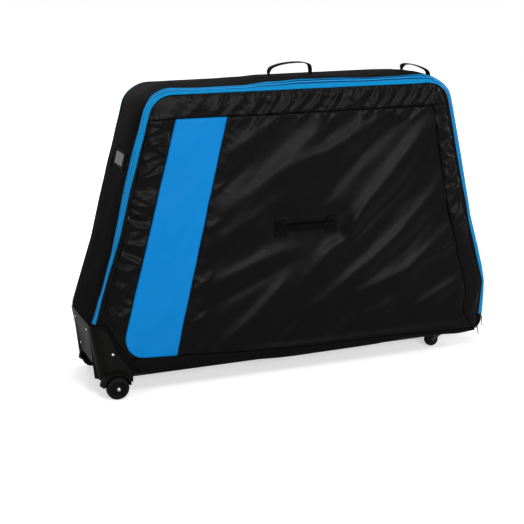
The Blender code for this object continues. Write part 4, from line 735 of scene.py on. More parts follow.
# folds: a line of X and Z, half width of the lit and of the shaded flank, and height, in metres
longFolds = [
    ([(0.430, 0.760), (0.393, 0.713), (0.252, 0.550), (0.124, 0.400), (-0.030, 0.235)], 0.052, 0.026, 0.0090),
    ([(0.470, 0.590), (0.421, 0.509), (0.272, 0.360), (0.137, 0.263), (0.003, 0.167)], 0.042, 0.022, 0.0072),
    ([(0.500, 0.430), (0.484, 0.393), (0.336, 0.277), (0.115, 0.197)], 0.036, 0.020, 0.0056),
    ([(0.550, 0.255), (0.526, 0.231), (0.350, 0.144)], 0.030, 0.018, 0.0046),
    ([(0.515, 0.355), (0.460, 0.325), (0.392, 0.300)], 0.016, 0.012, 0.0026),
    ([(0.290, 0.770), (0.211, 0.720), (0.074, 0.650), (-0.104, 0.590)], 0.042, 0.024, 0.0066),
    ([(0.100, 0.770), (0.020, 0.690), (-0.130, 0.560), (-0.260, 0.470)], 0.046, 0.028, 0.0066),
    ([(-0.050, 0.775), (-0.120, 0.730), (-0.240, 0.645)], 0.028, 0.018, 0.0044),
    ([(-0.012, 0.560), (-0.120, 0.490), (-0.277, 0.400)], 0.038, 0.024, 0.0046),
    ([(-0.006, 0.400), (-0.140, 0.345), (-0.309, 0.280)], 0.034, 0.020, 0.0046),
    ([(-0.030, 0.300), (-0.150, 0.190), (-0.262, 0.100)], 0.034, 0.020, 0.0052),
    ([(0.140, 0.130), (0.260, 0.160), (0.400, 0.200)], 0.030, 0.020, 0.0032),
    ([(-0.225, 0.590), (-0.262, 0.560), (-0.290, 0.540)], 0.010, 0.008, 0.0018),
    ([(-0.240, 0.480), (-0.275, 0.462), (-0.310, 0.450)], 0.011, 0.008, 0.0018),
    ([(-0.275, 0.330), (-0.305, 0.300), (-0.335, 0.285)], 0.010, 0.008, 0.0020),
    ([(-0.290, 0.215), (-0.320, 0.195), (-0.345, 0.190)], 0.010, 0.008, 0.0018),
]
hollows = [
    ([(0.352, 0.775), (0.212, 0.660), (0.112, 0.560), (0.009, 0.430)], 0.026, 0.026, -0.0045),
    ([(0.386, 0.630), (0.312, 0.530), (0.153, 0.390), (0.020, 0.260)], 0.020, 0.020, -0.0040),
    ([(0.450, 0.470), (0.340, 0.345), (0.180, 0.250)], 0.018, 0.018, -0.0035),
    ([(-0.146, 0.640), (-0.210, 0.590), (-0.275, 0.540)], 0.018, 0.018, -0.0025),
    ([(-0.011, 0.350), (-0.160, 0.280), (-0.309, 0.215)], 0.018, 0.018, -0.0030),
]
leftFolds = [  # in the zone left of the strip
    ([(-0.450, 0.752), (-0.392, 0.746)], 0.007, 0.005, 0.0032),
    ([(-0.462, 0.722), (-0.405, 0.738)], 0.008, 0.005, 0.0036),
    ([(-0.472, 0.687), (-0.410, 0.706)], 0.009, 0.006, 0.0040),
    ([(-0.485, 0.648), (-0.418, 0.670)], 0.009, 0.006, 0.0036),
    ([(-0.493, 0.608), (-0.428, 0.644)], 0.010, 0.006, 0.0046),
    ([(-0.505, 0.578), (-0.443, 0.548)], 0.011, 0.007, 0.0050),
    ([(-0.508, 0.545), (-0.448, 0.522)], 0.007, 0.005, 0.0030),
    ([(-0.516, 0.512), (-0.455, 0.494)], 0.008, 0.006, 0.0040),
    ([(-0.528, 0.474), (-0.466, 0.476)], 0.009, 0.006, 0.0044),
    ([(-0.537, 0.434), (-0.472, 0.423)], 0.010, 0.007, 0.0052),
    ([(-0.550, 0.406), (-0.488, 0.376)], 0.011, 0.007, 0.0052),
    ([(-0.568, 0.366), (-0.497, 0.352)], 0.008, 0.006, 0.0036),
    ([(-0.580, 0.330), (-0.520, 0.300)], 0.010, 0.008, 0.0030),
    ([(-0.588, 0.300), (-0.562, 0.215)], 0.011, 0.008, 0.0036),
]
rightFolds = [  # in the right band
    ([(0.470, 0.728), (0.428, 0.690)], 0.008, 0.006, 0.0030),
    ([(0.481, 0.668), (0.440, 0.632)], 0.009, 0.006, 0.0042),
    ([(0.492, 0.614), (0.453, 0.580)], 0.008, 0.005, 0.0038),
    ([(0.498, 0.570), (0.459, 0.543)], 0.007, 0.005, 0.0034),
    ([(0.508, 0.530), (0.470, 0.505)], 0.008, 0.006, 0.0030),
    ([(0.520, 0.476), (0.484, 0.424)], 0.012, 0.008, 0.0050),
    ([(0.540, 0.415), (0.505, 0.370)], 0.010, 0.008, 0.0026),
    ([(0.590, 0.180), (0.562, 0.130)], 0.012, 0.010, 0.0022),
]
foldGain = {"long": 1.65, "left": 1.15, "right": 1.15, "top": 1.6}
foldTaper = {"long": 0.75, "left": 0.45, "right": 0.5, "top": 0.4}  # the lower, the blunter the fold's ends
gathers = {
    # small gathers right under the zip: from and to X, and each one's size before its random change
    "zipLine": 0.827, "span": (-0.345, 0.440), "pitch": 0.0150, "jitter": 0.004, "reach": 0.028,
    "width": 0.0046, "height": 0.0022, "seed": 5,
    # long slanting scallops that hang from them: X and strength
    "scallopLine": 0.826,
    "scallops": [(-0.300, 0.4), (-0.235, 0.5), (-0.180, 0.6), (-0.128, 0.7), (-0.085, 0.9), (-0.036, 0.8),
                 (0.012, 1.0), (0.058, 0.9), (0.105, 1.1), (0.146, 0.9), (0.188, 1.1), (0.236, 1.0),
                 (0.278, 1.2), (0.320, 1.0), (0.358, 1.2), (0.396, 1.0), (0.428, 0.9)],
    "scallopReach": 0.085, "scallopWidth": 0.0130, "scallopHeight": 0.0046, "lean": 0.80,
}


def hangingFold(x, z, reach, lean, bend, sag):
    # three points of a fold that hangs from the zip and curves to the left
    return [(x, z), (x - reach * lean * bend, z - reach * sag), (x - reach * lean, z - reach)]


def topFolds():
    g = gathers
    rng = np.random.default_rng(g["seed"])
    folds = []
    for x in np.arange(*g["span"], g["pitch"]):
        x = x + rng.uniform(-g["jitter"], g["jitter"])
        reach, lean = g["reach"] * rng.uniform(0.5, 1.2), rng.uniform(0.1, 0.7)
        wide, high = g["width"] * rng.uniform(0.8, 1.3), g["height"] * rng.uniform(0.4, 1.1)
        fade = 0.55 + 0.45 * float(smoothStep(-0.30, 0.10, x))  # weaker towards the left
        folds.append((hangingFold(x, g["zipLine"], reach, lean, 0.4, 0.5), wide, wide * 0.8, high * fade))
    for x, strength in g["scallops"]:
        reach, lean = g["scallopReach"] * rng.uniform(0.75, 1.2), g["lean"] * rng.uniform(0.8, 1.2)
        wide = g["scallopWidth"] * rng.uniform(0.8, 1.3)
        folds.append((hangingFold(x, g["scallopLine"], reach, lean, 0.3, 0.45), wide, wide * 0.62,
                      g["scallopHeight"] * strength))
    return folds


def foldHeight(points, folds, zone):
    height = np.zeros(len(points))
    for line, lit, shaded, high in folds:
        low = np.min(line, axis=0) - 4 * max(lit, shaded)
        top = np.max(line, axis=0) + 4 * max(lit, shaded)
        near = np.all((points > low) & (points < top), axis=1)
        if not near.any():
            continue
        distance, side, share = lineDistance(points[near], line)
        width = np.where(side > 0, lit, shaded)
        taper = np.sin(np.pi * np.clip(share, 0.02, 0.98)) ** foldTaper[zone]
        height[near] += high * bump(distance, 0, width) * taper
    return foldGain[zone] * height


rimShape = {"samples": 900, "trim": 0.02}
rim = Line(*outline.at(np.linspace(0, outline.length, rimShape["samples"])))
rimPoints = rim.inset(edgeRadius + layerGap)
rimLine = rimPoints[(rim.run > rimShape["trim"]) & (rim.run < rim.length - rimShape["trim"])]

crumples = {  # folded cloth between the zip and the seams
    "layers": [(0.0034, 0.042, 0.45, 21), (0.0026, 0.026, -0.55, 22),
               (0.0009, 0.015, 0.15, 23)],  # height, cell size, lean and seed
    "stretch": 2.2, "sharpness": 2.2, "seamReach": 0.045,
    "leftSide": (-0.002, 0.010), "rightSide": (-0.004, 0.008),  # where they fade in beyond a seam
    "share": {"left": 1.0, "right": 0.8, "strip": 0.5, "head": 0.40},
    # Z between which each zone fades in, and out again under the top seam
    "leftFrom": (0.20, 0.27), "rightFrom": (0.30, 0.42), "stripFrom": (0.12, 0.20),
    "upTo": (0.775, 0.755), "stripUpTo": (0.790, 0.760), "headFrom": (-0.42, -0.34),
}


def crumpleHeight(points):
    x, z = points.T
    c = crumples
    fromLeft, fromStrip, fromRight = stripLeftX(z) - x, x - stripRightX(z), x - seamRightX(z)
    below = smoothStep(*c["upTo"], z)
    left = smoothStep(*c["leftSide"], fromLeft) * smoothStep(*c["leftFrom"], z) * below
    right = smoothStep(*c["rightSide"], fromRight) * smoothStep(*c["rightFrom"], z) * below
    strip = bump(fromStrip, 0, c["seamReach"]) * (fromStrip > 0)
    strip = strip * smoothStep(*c["stripFrom"], z) * smoothStep(*c["stripUpTo"], z)
    head = smoothStep(seamTop, seamTop + 0.01, z) * smoothStep(*c["headFrom"], x)
    zones = {"left": left, "right": right, "strip": strip, "head": head}
    height = np.zeros(len(points))
    for high, size, lean, seed in c["layers"]:
        along, over = x + lean * z, z - lean * x
        noise = smoothNoise(along / c["stretch"], over, size, seed)
        height += high * (1 - c["sharpness"] * np.abs(noise))
    return sum(c["share"][zone] * zones[zone] for zone in zones) * height


gripShape = {"centre": 0.0085, "height": 0.434, "spacing": 0.158, "patch": (0.035, 0.046), "thick": 0.0014,
             "standOff": 0.0125, "sag": -0.0015, "bar": (0.0088, 0.0082), "tab": (0.0090, 0.0020),
             "seat": 0.0010, "stitchIn": 0.008, "pivot": 0.0050, "girth": 0.0085, "squashFrom": 0.0105,
             # how blunt the bow is, where the tabs swell into the bar, and the roll and crease there
             "bluntness": 0.55, "swell": (0.004, 0.020), "roll": (0.0005, 0.022, 0.002),
             "crease": (0.05, 0.16), "squareness": 0.35}
frontRelief = {
    "pillow": (0.0065, 0.016),  # height, and how soon it is reached from the rim
    "slant": ((0.66, 0.75), (0.75, -0.66)),  # directions along and across the main folds
    "waves": [(0.0016, 3.2, 0.16, 11), (0.0009, 2.4, 0.06, 12)],  # height, squeeze, cell size and seed
    "waveFade": (0.07, 0.14),
    "ripple": (0.0005, 0.030, 13),
    "calmRim": 0.05,
    # depth and half width of the groove along each seam
    "topSeam": (0.0015, 0.0036), "rightSeam": (0.0026, 0.0045), "bottomSeam": (0.0018, 0.0040),
    "stripSeam": (0.0012, 0.0030),
    "pucker": (0.0006, 0.012, 0.017),  # height, half width and pitch of the puckers at the top seam
    "puckerShift": (3, 0.05, 3),
    # half size and reach of the flat places under the grip's patches, and of the low one behind its bar
    "patchSeats": (-0.0705, 0.0875), "patchHalf": (0.019, 0.025), "patchReach": 0.028, "patchLift": 0.0006,
    "barHalf": (0.070, 0.014), "barReach": 0.048, "barDrop": 0.004, "barShare": 0.65,
    "belly": (0.004, 0.075, 0.016), "bellyFade": (-0.46, -0.36),  # height, Z and half width; X
}


def boxDistance(points, x, z, half):
    return np.hypot(np.maximum(np.abs(points[:, 0] - x) - half[0], 0),
                    np.maximum(np.abs(points[:, 1] - z) - half[1], 0))


def seamGroove(points, line, shape):
    distance, _, _ = lineDistance(points, line)
    return shape[0] * bump(distance, 0, shape[1])


def frontHeight(x, z):
    # how far the front cloth stands off the plain front, towards the viewer
    r = frontRelief
    points = np.stack([np.ravel(x), np.ravel(z)], -1)
    px, pz = points.T
    toRim, _, _ = lineDistance(points, rimLine)
    height = r["pillow"][0] * (1 - np.exp(-toRim / r["pillow"][1]))
    for folds, zone in ((longFolds + hollows, "long"), (leftFolds, "left"), (rightFolds, "right"),
                        (topFolds(), "top")):
        height += foldHeight(points, folds, zone)
    along, across = (points @ np.array(r["slant"]).T).T
    for high, squeeze, size, seed in r["waves"]:
        height += high * smoothStep(*r["waveFade"], pz) * smoothNoise(along, across * squeeze, size, seed)
    high, size, seed = r["ripple"]
    height += high * smoothNoise(px, pz, size, seed) * smoothStep(0.0, r["calmRim"], toRim)
    rightZ = np.linspace(hinge, seamTop, 60)
    bottomX = np.linspace(frontSeams["stripLeft"][1][0], frontSeams["rightLow"][0], 60)
    height -= seamGroove(points, [(-0.45, seamTop), (0.45, seamTop)], r["topSeam"])
    height -= seamGroove(points, np.stack([seamRightX(rightZ), rightZ], -1), r["rightSeam"])
    height -= seamGroove(points, np.stack([bottomX, bottomSeam(bottomX)], -1), r["bottomSeam"])
    height -= seamGroove(points, frontSeams["stripLeft"], r["stripSeam"])
    height -= seamGroove(points, frontSeams["stripRight"], r["stripSeam"])
    height += crumpleHeight(points)
    high, wide, pitch = r["pucker"]
    shift, size, seed = r["puckerShift"]
    phase = px * 2 * np.pi / pitch + shift * smoothNoise(px, 0, size, seed)
    height += high * bump(pz, seamTop, wide) * np.sin(phase)
    # the cloth is sewn flat under the grip's patches and lies low behind its bar
    for centre in r["patchSeats"]:
        seat = bump(boxDistance(points, centre, gripShape["height"], r["patchHalf"]), 0, r["patchReach"])
        height = height * (1 - seat) + r["patchLift"] * seat
    away = boxDistance(points, gripShape["centre"], gripShape["height"] - r["barDrop"], r["barHalf"])
    height = height * (1 - r["barShare"] * bump(away, 0, r["barReach"]))
    # the belly of the bottom band hangs out a little and flattens towards its lower edge
    high, level, wide = r["belly"]
    height += high * bump(pz, level, wide) * smoothStep(*r["bellyFade"], px)
    return height.reshape(np.shape(x))


def clothMesh(name, x, z, skirt=0.004, limit=None):
    # a grid of X and Z raised by the front's relief, with its border turned in to the panel
    y = clothFace - frontHeight(x, z)
    if limit is not None:
        y = np.maximum(y, -limit)
    points = np.pad(np.stack([x, y, z], -1), ((1, 1), (1, 1), (0, 0)), mode="edge")
    border = np.ones(points.shape[:2], bool)
    border[1:-1, 1:-1] = False
    points[border, 1] = np.maximum(points[border, 1] + skirt, clothFace + 0.0006)
    mesh = makeMesh(name, points, gridFaces(*points.shape[:2]), points[..., [0, 2]])
    if mesh.polygons[len(mesh.polygons) // 2].normal.y > 0:
        mesh.flip_normals()
    return mesh


patchSteps = {"coarse": 0.0042, "medium": 0.0034, "fine": 0.0030, "hem": 0.0026, "warp": 0.06,
              "topX": (-0.4480, 0.4480), "footX": (-0.5160, 0.5850), "rightFoot": 0.072}


def rowPatch(low, high, left, right, colStep):
    # a grid between two side lines, given as left and right X by Z
    z = np.linspace(low, high, int((high - low) / patchSteps["coarse"]) + 1)
    t = np.linspace(0, 1, int(np.max(right(z) - left(z)) / colStep) + 1)
    x = left(z)[:, None] * (1 - t) + right(z)[:, None] * t
    return x, np.broadcast_to(z[:, None], x.shape).copy()


def columnPatch(first, last, low, high, rowStep, colStep):
    # a grid between a lower and an upper line, given as Z by X
    x = np.linspace(first, last, int((last - first) / colStep) + 1)
    t = np.linspace(0, 1, int(np.max(high(x) - low(x)) / rowStep) + 1)[:, None]
    z = low(x)[None, :] * (1 - t) + high(x)[None, :] * t
    return np.broadcast_to(x[None, :], z.shape).copy(), z


def warpToSeam(x, z, low):
    # slides the lower rows of a patch so that its lower edge follows the lower seam
    share = np.clip((z - low) / patchSteps["warp"], 0, 1)
    return z + (bottomSeam(x) + sew - low) * (1 - share)


def seamPatch(low, high, left, right, colStep):
    # the same, with its sides still on their lines after the warp
    x, z = rowPatch(low, high, left, right, colStep)
    share = (x - left(z)) / (right(z) - left(z))
    z = warpToSeam(x, z, low)
    return left(z) * (1 - share) + right(z) * share, z


def lookup(points, axis):
    # a line sorted by its X (0) or Z (1), with its other value
    order = np.argsort(points[:, axis])
    return points[order, axis], points[order, 1 - axis]


leftRim = lookup(rimPoints[(rimPoints[:, 0] < -0.3) & (rimPoints[:, 1] > 0.12)], 1)
rightRim = lookup(rimPoints[(rimPoints[:, 0] > 0.3) & (rimPoints[:, 1] > 0.0)], 1)
topRim = lookup(rimPoints[rimPoints[:, 1] > seamTop - 0.01], 0)


def leftEdge(z):
    return np.where(z > bodyShape["panelCut"], np.interp(z, *leftRim), cutX(z))


def rightEdge(z):
    return np.interp(z, *rightRim)


def topEdge(x):
    return np.maximum(np.interp(x, *topRim) - sew, seamTop + 2 * sew)


def moved(line, distance):
    # a seam's line moved aside
    return lambda place: line(place) + distance


def footZ(x):
    # the lower edge of the front, which follows the panel's cut beside the housing
    zs = np.linspace(hinge, 0.12, 60)
    xs, zs = lookup(np.stack([cutX(zs), zs], -1), 0)
    besideCut = np.where(x < frontSeams["cut"][0][1], np.interp(x, xs, zs), 0.0)
    return np.maximum(curveThrough(frontSeams["foot"], x), besideCut)


def buildFront():
    base, top, size = frontSeams["stripBase"], seamTop - sew, patchSteps
    coarse, fine = size["coarse"], size["fine"]
    cuts = {}
    cuts["topBand"] = columnPatch(*size["topX"], lambda x: np.full_like(x, seamTop + sew), topEdge, fine,
                                  size["medium"])
    cuts["field"] = seamPatch(base, top, moved(stripRightX, sew), moved(seamRightX, -sew), coarse)
    x, z = rowPatch(base, top, moved(leftEdge, sew), moved(stripLeftX, -sew), fine)
    cuts["leftField"] = (x, warpToSeam(x, z, base))
    x, z = rowPatch(base + sew, top, moved(stripLeftX, sew), moved(stripRightX, -sew), coarse)
    cuts["blueStrip"] = (x, warpToSeam(x, z, base))
    cuts["rightBand"] = seamPatch(size["rightFoot"], top, moved(seamRightX, sew), moved(rightEdge, -sew),
                                  fine)
    cuts["bottomBand"] = columnPatch(*size["footX"], footZ, moved(bottomSeam, -sew), size["hem"], coarse)
    for name, look, body, nodes in (
            ("topBand", "glossCloth", "front_panel", ["panel_top_band"]),
            ("field", "glossCloth", "front_panel", ["panel_field"]),
            ("leftField", "glossCloth", "front_panel", []),
            ("blueStrip", "blueCloth", "front_panel", ["blue_strip"]),
            ("rightBand", "glossCloth", "front_panel", ["panel_right_band"]),
            ("bottomBand", "paddedCloth", None, ["panel_bottom_band"])):
        piece = addPiece(name, clothMesh(name, *cuts[name]), look, body, nodes)
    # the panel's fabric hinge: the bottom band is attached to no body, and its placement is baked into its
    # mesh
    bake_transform(piece)


buildFront()

# the fixed corner of the front, between the panel's cut and the housing; the cheek's front edge as Z and X
cheekLine = ((0.064, 0.077, 0.093, 0.110, 0.135, 0.154, 0.178, 0.192),
             (-0.5125, -0.5211, -0.5363, -0.5469, -0.5572, -0.5654, -0.5726, -0.5774))
cornerShape = {
    "z": (hinge, 0.2128), "left": -0.6005, "footInset": 0.02, "footRound": (0.12, 0.05),
    "rows": 60, "columns": 26, "skirt": 0.002, "standX": (0.0, 0.020), "standZ": (0.068, 0.090),
    "behindCheek": 0.1222, "clearOfCheek": 0.0060,  # how far the cloth may stand out in each place
}


def buildCornerCloth():
    c = cornerShape
    z = np.linspace(*c["z"], c["rows"])
    left = c["left"] + c["footInset"] * smoothStep(*c["footRound"], z)
    t = np.linspace(0, 1, c["columns"])
    x = left[:, None] * (1 - t) + (cutX(z) - sew)[:, None] * t
    z = np.broadcast_to(z[:, None], x.shape).copy()
    beyond = smoothStep(*c["standX"], x - np.interp(z, *cheekLine)) * smoothStep(*c["standZ"], z)
    mesh = clothMesh("cornerCloth", x, z, c["skirt"], c["behindCheek"] + c["clearOfCheek"] * beyond)
    addPiece("cornerCloth", mesh, "paddedCloth", "case")


buildCornerCloth()
print("front cloth made")

# zip along the front edge: section angles run from 0 degrees on the gusset to 90 on the front
zipShape = {"spacing": 0.0045, "tapeThick": 0.0011, "bedThick": 0.0008, "hemThick": 0.0022,
            "bindingThick": 0.0025, "topFade": (0.822, 0.844), "pitch": 0.0023,
            "bead": (0.0034, 0.0017, 0.0016), "coilLift": 0.0006, "coilSplit": 1.6,
            "stitchLift": 0.0012, "stitchSplit": 2.6, "waver": (0.00025, 0.02, 7),
            "coilEnds": (0.004, 0.002), "stitchEnds": (0.006, 0.006)}
waveFalloff = 1.5  # how the wave of an edge fades round its section


def edgePlace(p, n, degrees, lift=0.0, side=-1):
    # points on the rounded front (-1) or back edge at section angles, with the soft wave of that edge
    angle = np.radians(np.broadcast_to(np.atleast_2d(degrees), (len(p), np.atleast_2d(degrees).shape[1])))
    reach = edgeRadius + np.atleast_2d(lift)
    wave = edgeWave(p, "front" if side < 0 else "back")[:, None]
    inset = edgeRadius - reach * np.cos(angle) - wave * np.maximum(np.cos(angle), 0.0) ** waveFalloff
    y = side * (edgeStart + reach * np.sin(angle))
    return place(p, n, inset, np.broadcast_to(y, inset.shape))


def edgeOutward(n, degrees, side=-1):
    angle = math.radians(degrees)
    y = np.full(len(n), side * math.sin(angle))
    return np.stack([-n[:, 0] * math.cos(angle), y, -n[:, 1] * math.cos(angle)], -1)


# section angle in degrees where each tape leaves the cloth: by Z on the ends, by X on the top
tapeSpans = {
    "caseLeft": [(0.20, 14), (0.235, 24), (0.276, 28), (0.30, 34), (0.40, 34), (0.46, 31), (0.57, 25),
                 (0.66, 30), (0.76, 33), (0.81, 34), (0.83, 24)],
    "panelLeft": [(0.20, 62), (0.235, 61), (0.276, 57), (0.33, 57), (0.40, 61), (0.46, 68), (0.57, 69),
                  (0.66, 77), (0.74, 84), (0.80, 88), (0.83, 89)],
    "caseRight": [(0.10, 10), (0.30, 14), (0.60, 12), (0.80, 8), (0.83, 8)],
    "panelRight": [(0.10, 78), (0.25, 78), (0.36, 70), (0.45, 65), (0.55, 68), (0.62, 68), (0.70, 64),
                   (0.80, 63), (0.83, 70)],
    "caseTop": [(-0.44, 16), (-0.38, 5), (-0.12, 5), (-0.03, 22), (0.08, 25), (0.32, 27), (0.40, 18),
                (0.45, 9)],
    "panelTop": [(-0.44, 89), (0.36, 89), (0.40, 84), (0.45, 72)],
}


def tapeAngle(side, p):
    return roundOutline(tapeSpans, side, p, zipShape["topFade"])


def bedAngle(side, p):
    # where the tape's flat hem ends and the channel beside the coil begins, painted dark as shade
    return 45 + side * (7.0 + 6.0 * smoothStep(*zipShape["topFade"], p[:, 1]))


def bandOnEdge(name, begin, stop, fromAngle, toAngle, relief, thick, look, body, nodes, rows, side=-1):
    # a band of cloth bent round the front (-1) or back edge, its relief given by the share of its width
    s, p, n = stations(begin, stop, zipShape["spacing"])
    share = np.linspace(0, 1, rows)
    low, high = (angle(p) if callable(angle) else np.full(len(s), angle) for angle in (fromAngle, toAngle))
    angles = low[:, None] + (high - low)[:, None] * share
    rise, size, seed = zipShape["waver"]
    lift = relief(share)[None, :] + rise * smoothNoise(s, s * 0, size, seed)[:, None] * np.sin(np.pi * share)
    outer = edgePlace(p, n, angles, lift, side)
    inner = edgePlace(p, n, angles[:, ::-1], lift[:, ::-1] - thick, side)
    width = edgeRadius * math.radians(float(np.mean(high - low)))
    across = np.r_[share * width, share[::-1] * width]
    mesh = loft(name, np.concatenate([outer, inner], 1), clothMap(s, across))
    return addPiece(name, mesh, look, body, nodes)


def tapeRelief(share):
    # a raised hem beside the coil and one by the seam
    hems = bump(share, 0.90, 0.10) + bump(share, 0.16, 0.10)
    return 0.0003 + 0.0011 * hems - 0.0010 * bump(share, 0.5, 0.08) - 0.0010 * bump(share, 0, 0.04)


def bedRelief(share):
    return np.full_like(share, -0.0012)


def clothRelief(share):
    # edge cloth that rolls over the tape at its free end
    return 0.0006 + 0.0013 * bump(share, 0.93, 0.12)


def plainBinding(share):
    return 0.0004 + 0.0012 * np.sin(np.pi * share) ** 0.5 - 0.0008 * bump(share, 0.5, 0.05)


def backBinding(share):
    return 0.0004 + 0.0010 * np.sin(np.pi * share) ** 0.6


def flipped(relief):
    return lambda share: relief(1 - share)


def zipBead(name, s, degrees, lift, across, size, beadLift, look, body):
    # a row of beads along the zip, lying along it or across it
    p, n = outline.at(s)
    at = edgePlace(p, n, degrees(p), lift)[:, 0]
    ahead = edgePlace(*outline.at(s + 0.001), degrees(p), lift)[:, 0] - at
    facing = edgeOutward(n, degrees(p) if across else 45.0)
    along = unit(np.cross(ahead, facing)) if across else unit(ahead)
    return beadRow(name, at, along, facing, size, beadLift, look, body)


def buildZip():
    z = zipShape
    # name, section angles, relief, thickness, look, body, nodes and rows
    for band in (
            ("zipTapeCase", lambda p: tapeAngle("case", p) - 1.5, lambda p: bedAngle(-1, p), tapeRelief,
             z["tapeThick"], "blueTape", "case", ["zip_tape_case"], 17),
            ("zipTapePanel", lambda p: bedAngle(1, p), lambda p: tapeAngle("panel", p) + 1.0,
             flipped(tapeRelief), z["tapeThick"], "blueTape", "front_panel", ["zip_tape_panel"], 17),
            # the channel beds beside the coil are painted dark as shade
            ("zipBedCase", lambda p: bedAngle(-1, p) - 1.5, 44.7, bedRelief, z["bedThick"], "blueShade",
             "case", [], 5),
            ("zipBedPanel", 45.3, lambda p: bedAngle(1, p) + 1.5, bedRelief, z["bedThick"], "blueShade",
             "front_panel", [], 5),
            ("edgeClothCase", -1.0, lambda p: tapeAngle("case", p), clothRelief, z["hemThick"],
             "paddedCloth", "case", [], 9),
            ("edgeClothPanel", lambda p: tapeAngle("panel", p), 91.0, flipped(clothRelief), z["hemThick"],
             "glossCloth", "front_panel", [], 9)):
        bandOnEdge(band[0], zipBegin, zipStop, *band[1:])
    # coil beads, painted lighter than the tape as highlight
    s = np.arange(zipBegin + z["coilEnds"][0], zipStop - z["coilEnds"][1], z["pitch"])
    for label, side, body in (("Case", -1, "case"), ("Panel", 1, "front_panel")):
        piece = zipBead("zipCoil" + label, s + (side > 0) * z["pitch"] / 2,
                        lambda p: 45.0 + side * z["coilSplit"], z["coilLift"], True, z["bead"], 0.0,
                        "paintedHighlightCoilBlue", body)
        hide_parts("zip_coil_" + label.lower())
    # stitching that holds the tapes
    s = np.arange(zipBegin + z["stitchEnds"][0], zipStop - z["stitchEnds"][1], stitchShape["pitch"])
    for label, side, body in (("Case", -1, "case"), ("Panel", 1, "front_panel")):
        zipBead("tapeStitch" + label, s, lambda p: bedAngle(side, p)[:, None] + side * z["stitchSplit"],
                z["stitchLift"], False, stitchShape["size"], 0.0003, "blueThread", body)
    bandOnEdge("zipEndStrip", 0.0, zipBegin - sew, 1.0, 90.0, plainBinding, z["bindingThick"], "webbing",
               "case", ["zip_end_strip"], 18)
    bandOnEdge("cornerBinding", zipStop + sew, outline.length, 1.0, 90.0, plainBinding, z["bindingThick"],
               "paddedCloth", "case", ["corner_binding"], 18)


buildZip()
print("zip made")

# padded gussets
gussetShape = {
    "crown": 0.0042, "spacing": 0.0055, "rows": 46, "innerRows": 12, "turnIn": 0.0022, "hem": 0.0010,
    "fill": 0.5,
    "seamDip": (0.0022, 0.0035), "seamRoll": (0.0012, 0.009, 0.005),  # height and half width, and distance
    "swell": [(0.0014, 1.6, 0.10, 21), (0.0007, 1.0, 0.035, 22)],  # height, squeeze, cell size and seed
    # lengthwise creases low on the left end: height, pitch, cell size and seed
    "ribs": (0.0003, 0.046, 0.09, 23), "ribWander": 1.2, "ribsUpTo": (0.46, 0.30), "ribsFrom": (0.10, 0.22),
    "knee": (0.0016, 0.40, 0.018),
    "seatHem": 0.014, "seatDip": 0.0002,
    "seats": [  # straps and window: begin and stop along the outline, low and high Y
        (outline.where(0, 0.109, True), outline.where(0, -0.097, False), -0.018, 0.018),
        (outline.where(0, 0.4530, True) - 0.014, outline.where(0, 0.369, True) + 0.014, -0.018, 0.018),
        (outline.where(1, 0.672, False), outline.where(1, 0.618, False), -0.082, 0.036),
    ],
    "housingTop": (0.216, 0.206),
}


def gussetHeight(s, y, p):
    # outward relief of the gusset at stations s and depths y
    g = gussetShape
    share = y[None, :] / edgeStart
    back = smoothStep(-1.0, 1.0, share)
    height = g["crown"] * (1 - np.abs(share) ** 3)
    height = height + edgeWave(p)[:, None] * (1 - back) ** waveFalloff + edgeWave(p, "back")[:, None] * back
    for seam in (seamRight, seamLeft):
        away = np.abs(s[:, None] - seam)
        height = height - g["seamDip"][0] * bump(away, 0, g["seamDip"][1])
        height = height + g["seamRoll"][0] * bump(away, *g["seamRoll"][1:])
    ss, yy = np.broadcast_arrays(s[:, None], y[None, :])
    for high, squeeze, size, seed in g["swell"]:
        height = height + high * smoothNoise(ss, yy * squeeze, size, seed) * (1 - share ** 4)
    high, pitch, size, seed = g["ribs"]
    foot = (p[:, 0] < 0) * smoothStep(*g["ribsUpTo"], p[:, 1]) * smoothStep(*g["ribsFrom"], p[:, 1])
    ribs = np.sin(yy * 2 * np.pi / pitch + g["ribWander"] * smoothNoise(ss, yy, size, seed)) * high
    height = height + foot[:, None] * ribs * (1 - share ** 4)
    high, level, wide = g["knee"]
    height = height - bump(p[:, 1], level, wide)[:, None] * high * (1 - share ** 2)
    hem = g["seatHem"]
    for begin, stop, low, top in g["seats"]:
        # the cloth is drawn flat where a strap or the window is sewn down
        inside = (smoothStep(begin - hem, begin, ss) * smoothStep(stop + hem, stop, ss)
                  * smoothStep(low - hem, low, yy) * smoothStep(top + hem, top, yy))
        height = height * (1 - inside) - g["seatDip"] * inside
    # the housing's wall covers the foot of the left end
    covered = ((p[:, 0] < 0) * smoothStep(*g["housingTop"], p[:, 1]))[:, None]
    return height * (1 - covered) + np.minimum(height, -g["seatDip"]) * covered


def buildGusset(name, begin, stop, node):
    g = gussetShape
    s, p, n = stations(begin, stop, g["spacing"])
    y = np.linspace(-edgeStart, edgeStart, g["rows"])
    y = np.r_[y[0], y[0] + g["hem"], y[1:-1], y[-1] - g["hem"], y[-1]]
    lift = gussetHeight(s, y, p)
    lift[:, [0, -1]] -= g["turnIn"]
    innerY = np.linspace(edgeStart, -edgeStart, g["innerRows"])
    inner = place(p, n, np.full((len(s), 1), bodyShape["foam"]), innerY)
    mesh = loft(name, np.concatenate([place(p, n, -lift, y), inner], 1), clothMap(s, np.r_[y, innerY]))
    addPiece(name, mesh, "paddedCloth", "case", [node])


buildGusset("gussetRight", 0.0, seamRight - layerGap, "gusset_right")
buildGusset("gussetTop", seamRight + layerGap, seamLeft - layerGap, "gusset_top")
buildGusset("gussetLeft", seamLeft + layerGap, outline.length, "gusset_left")
print("gussets made")

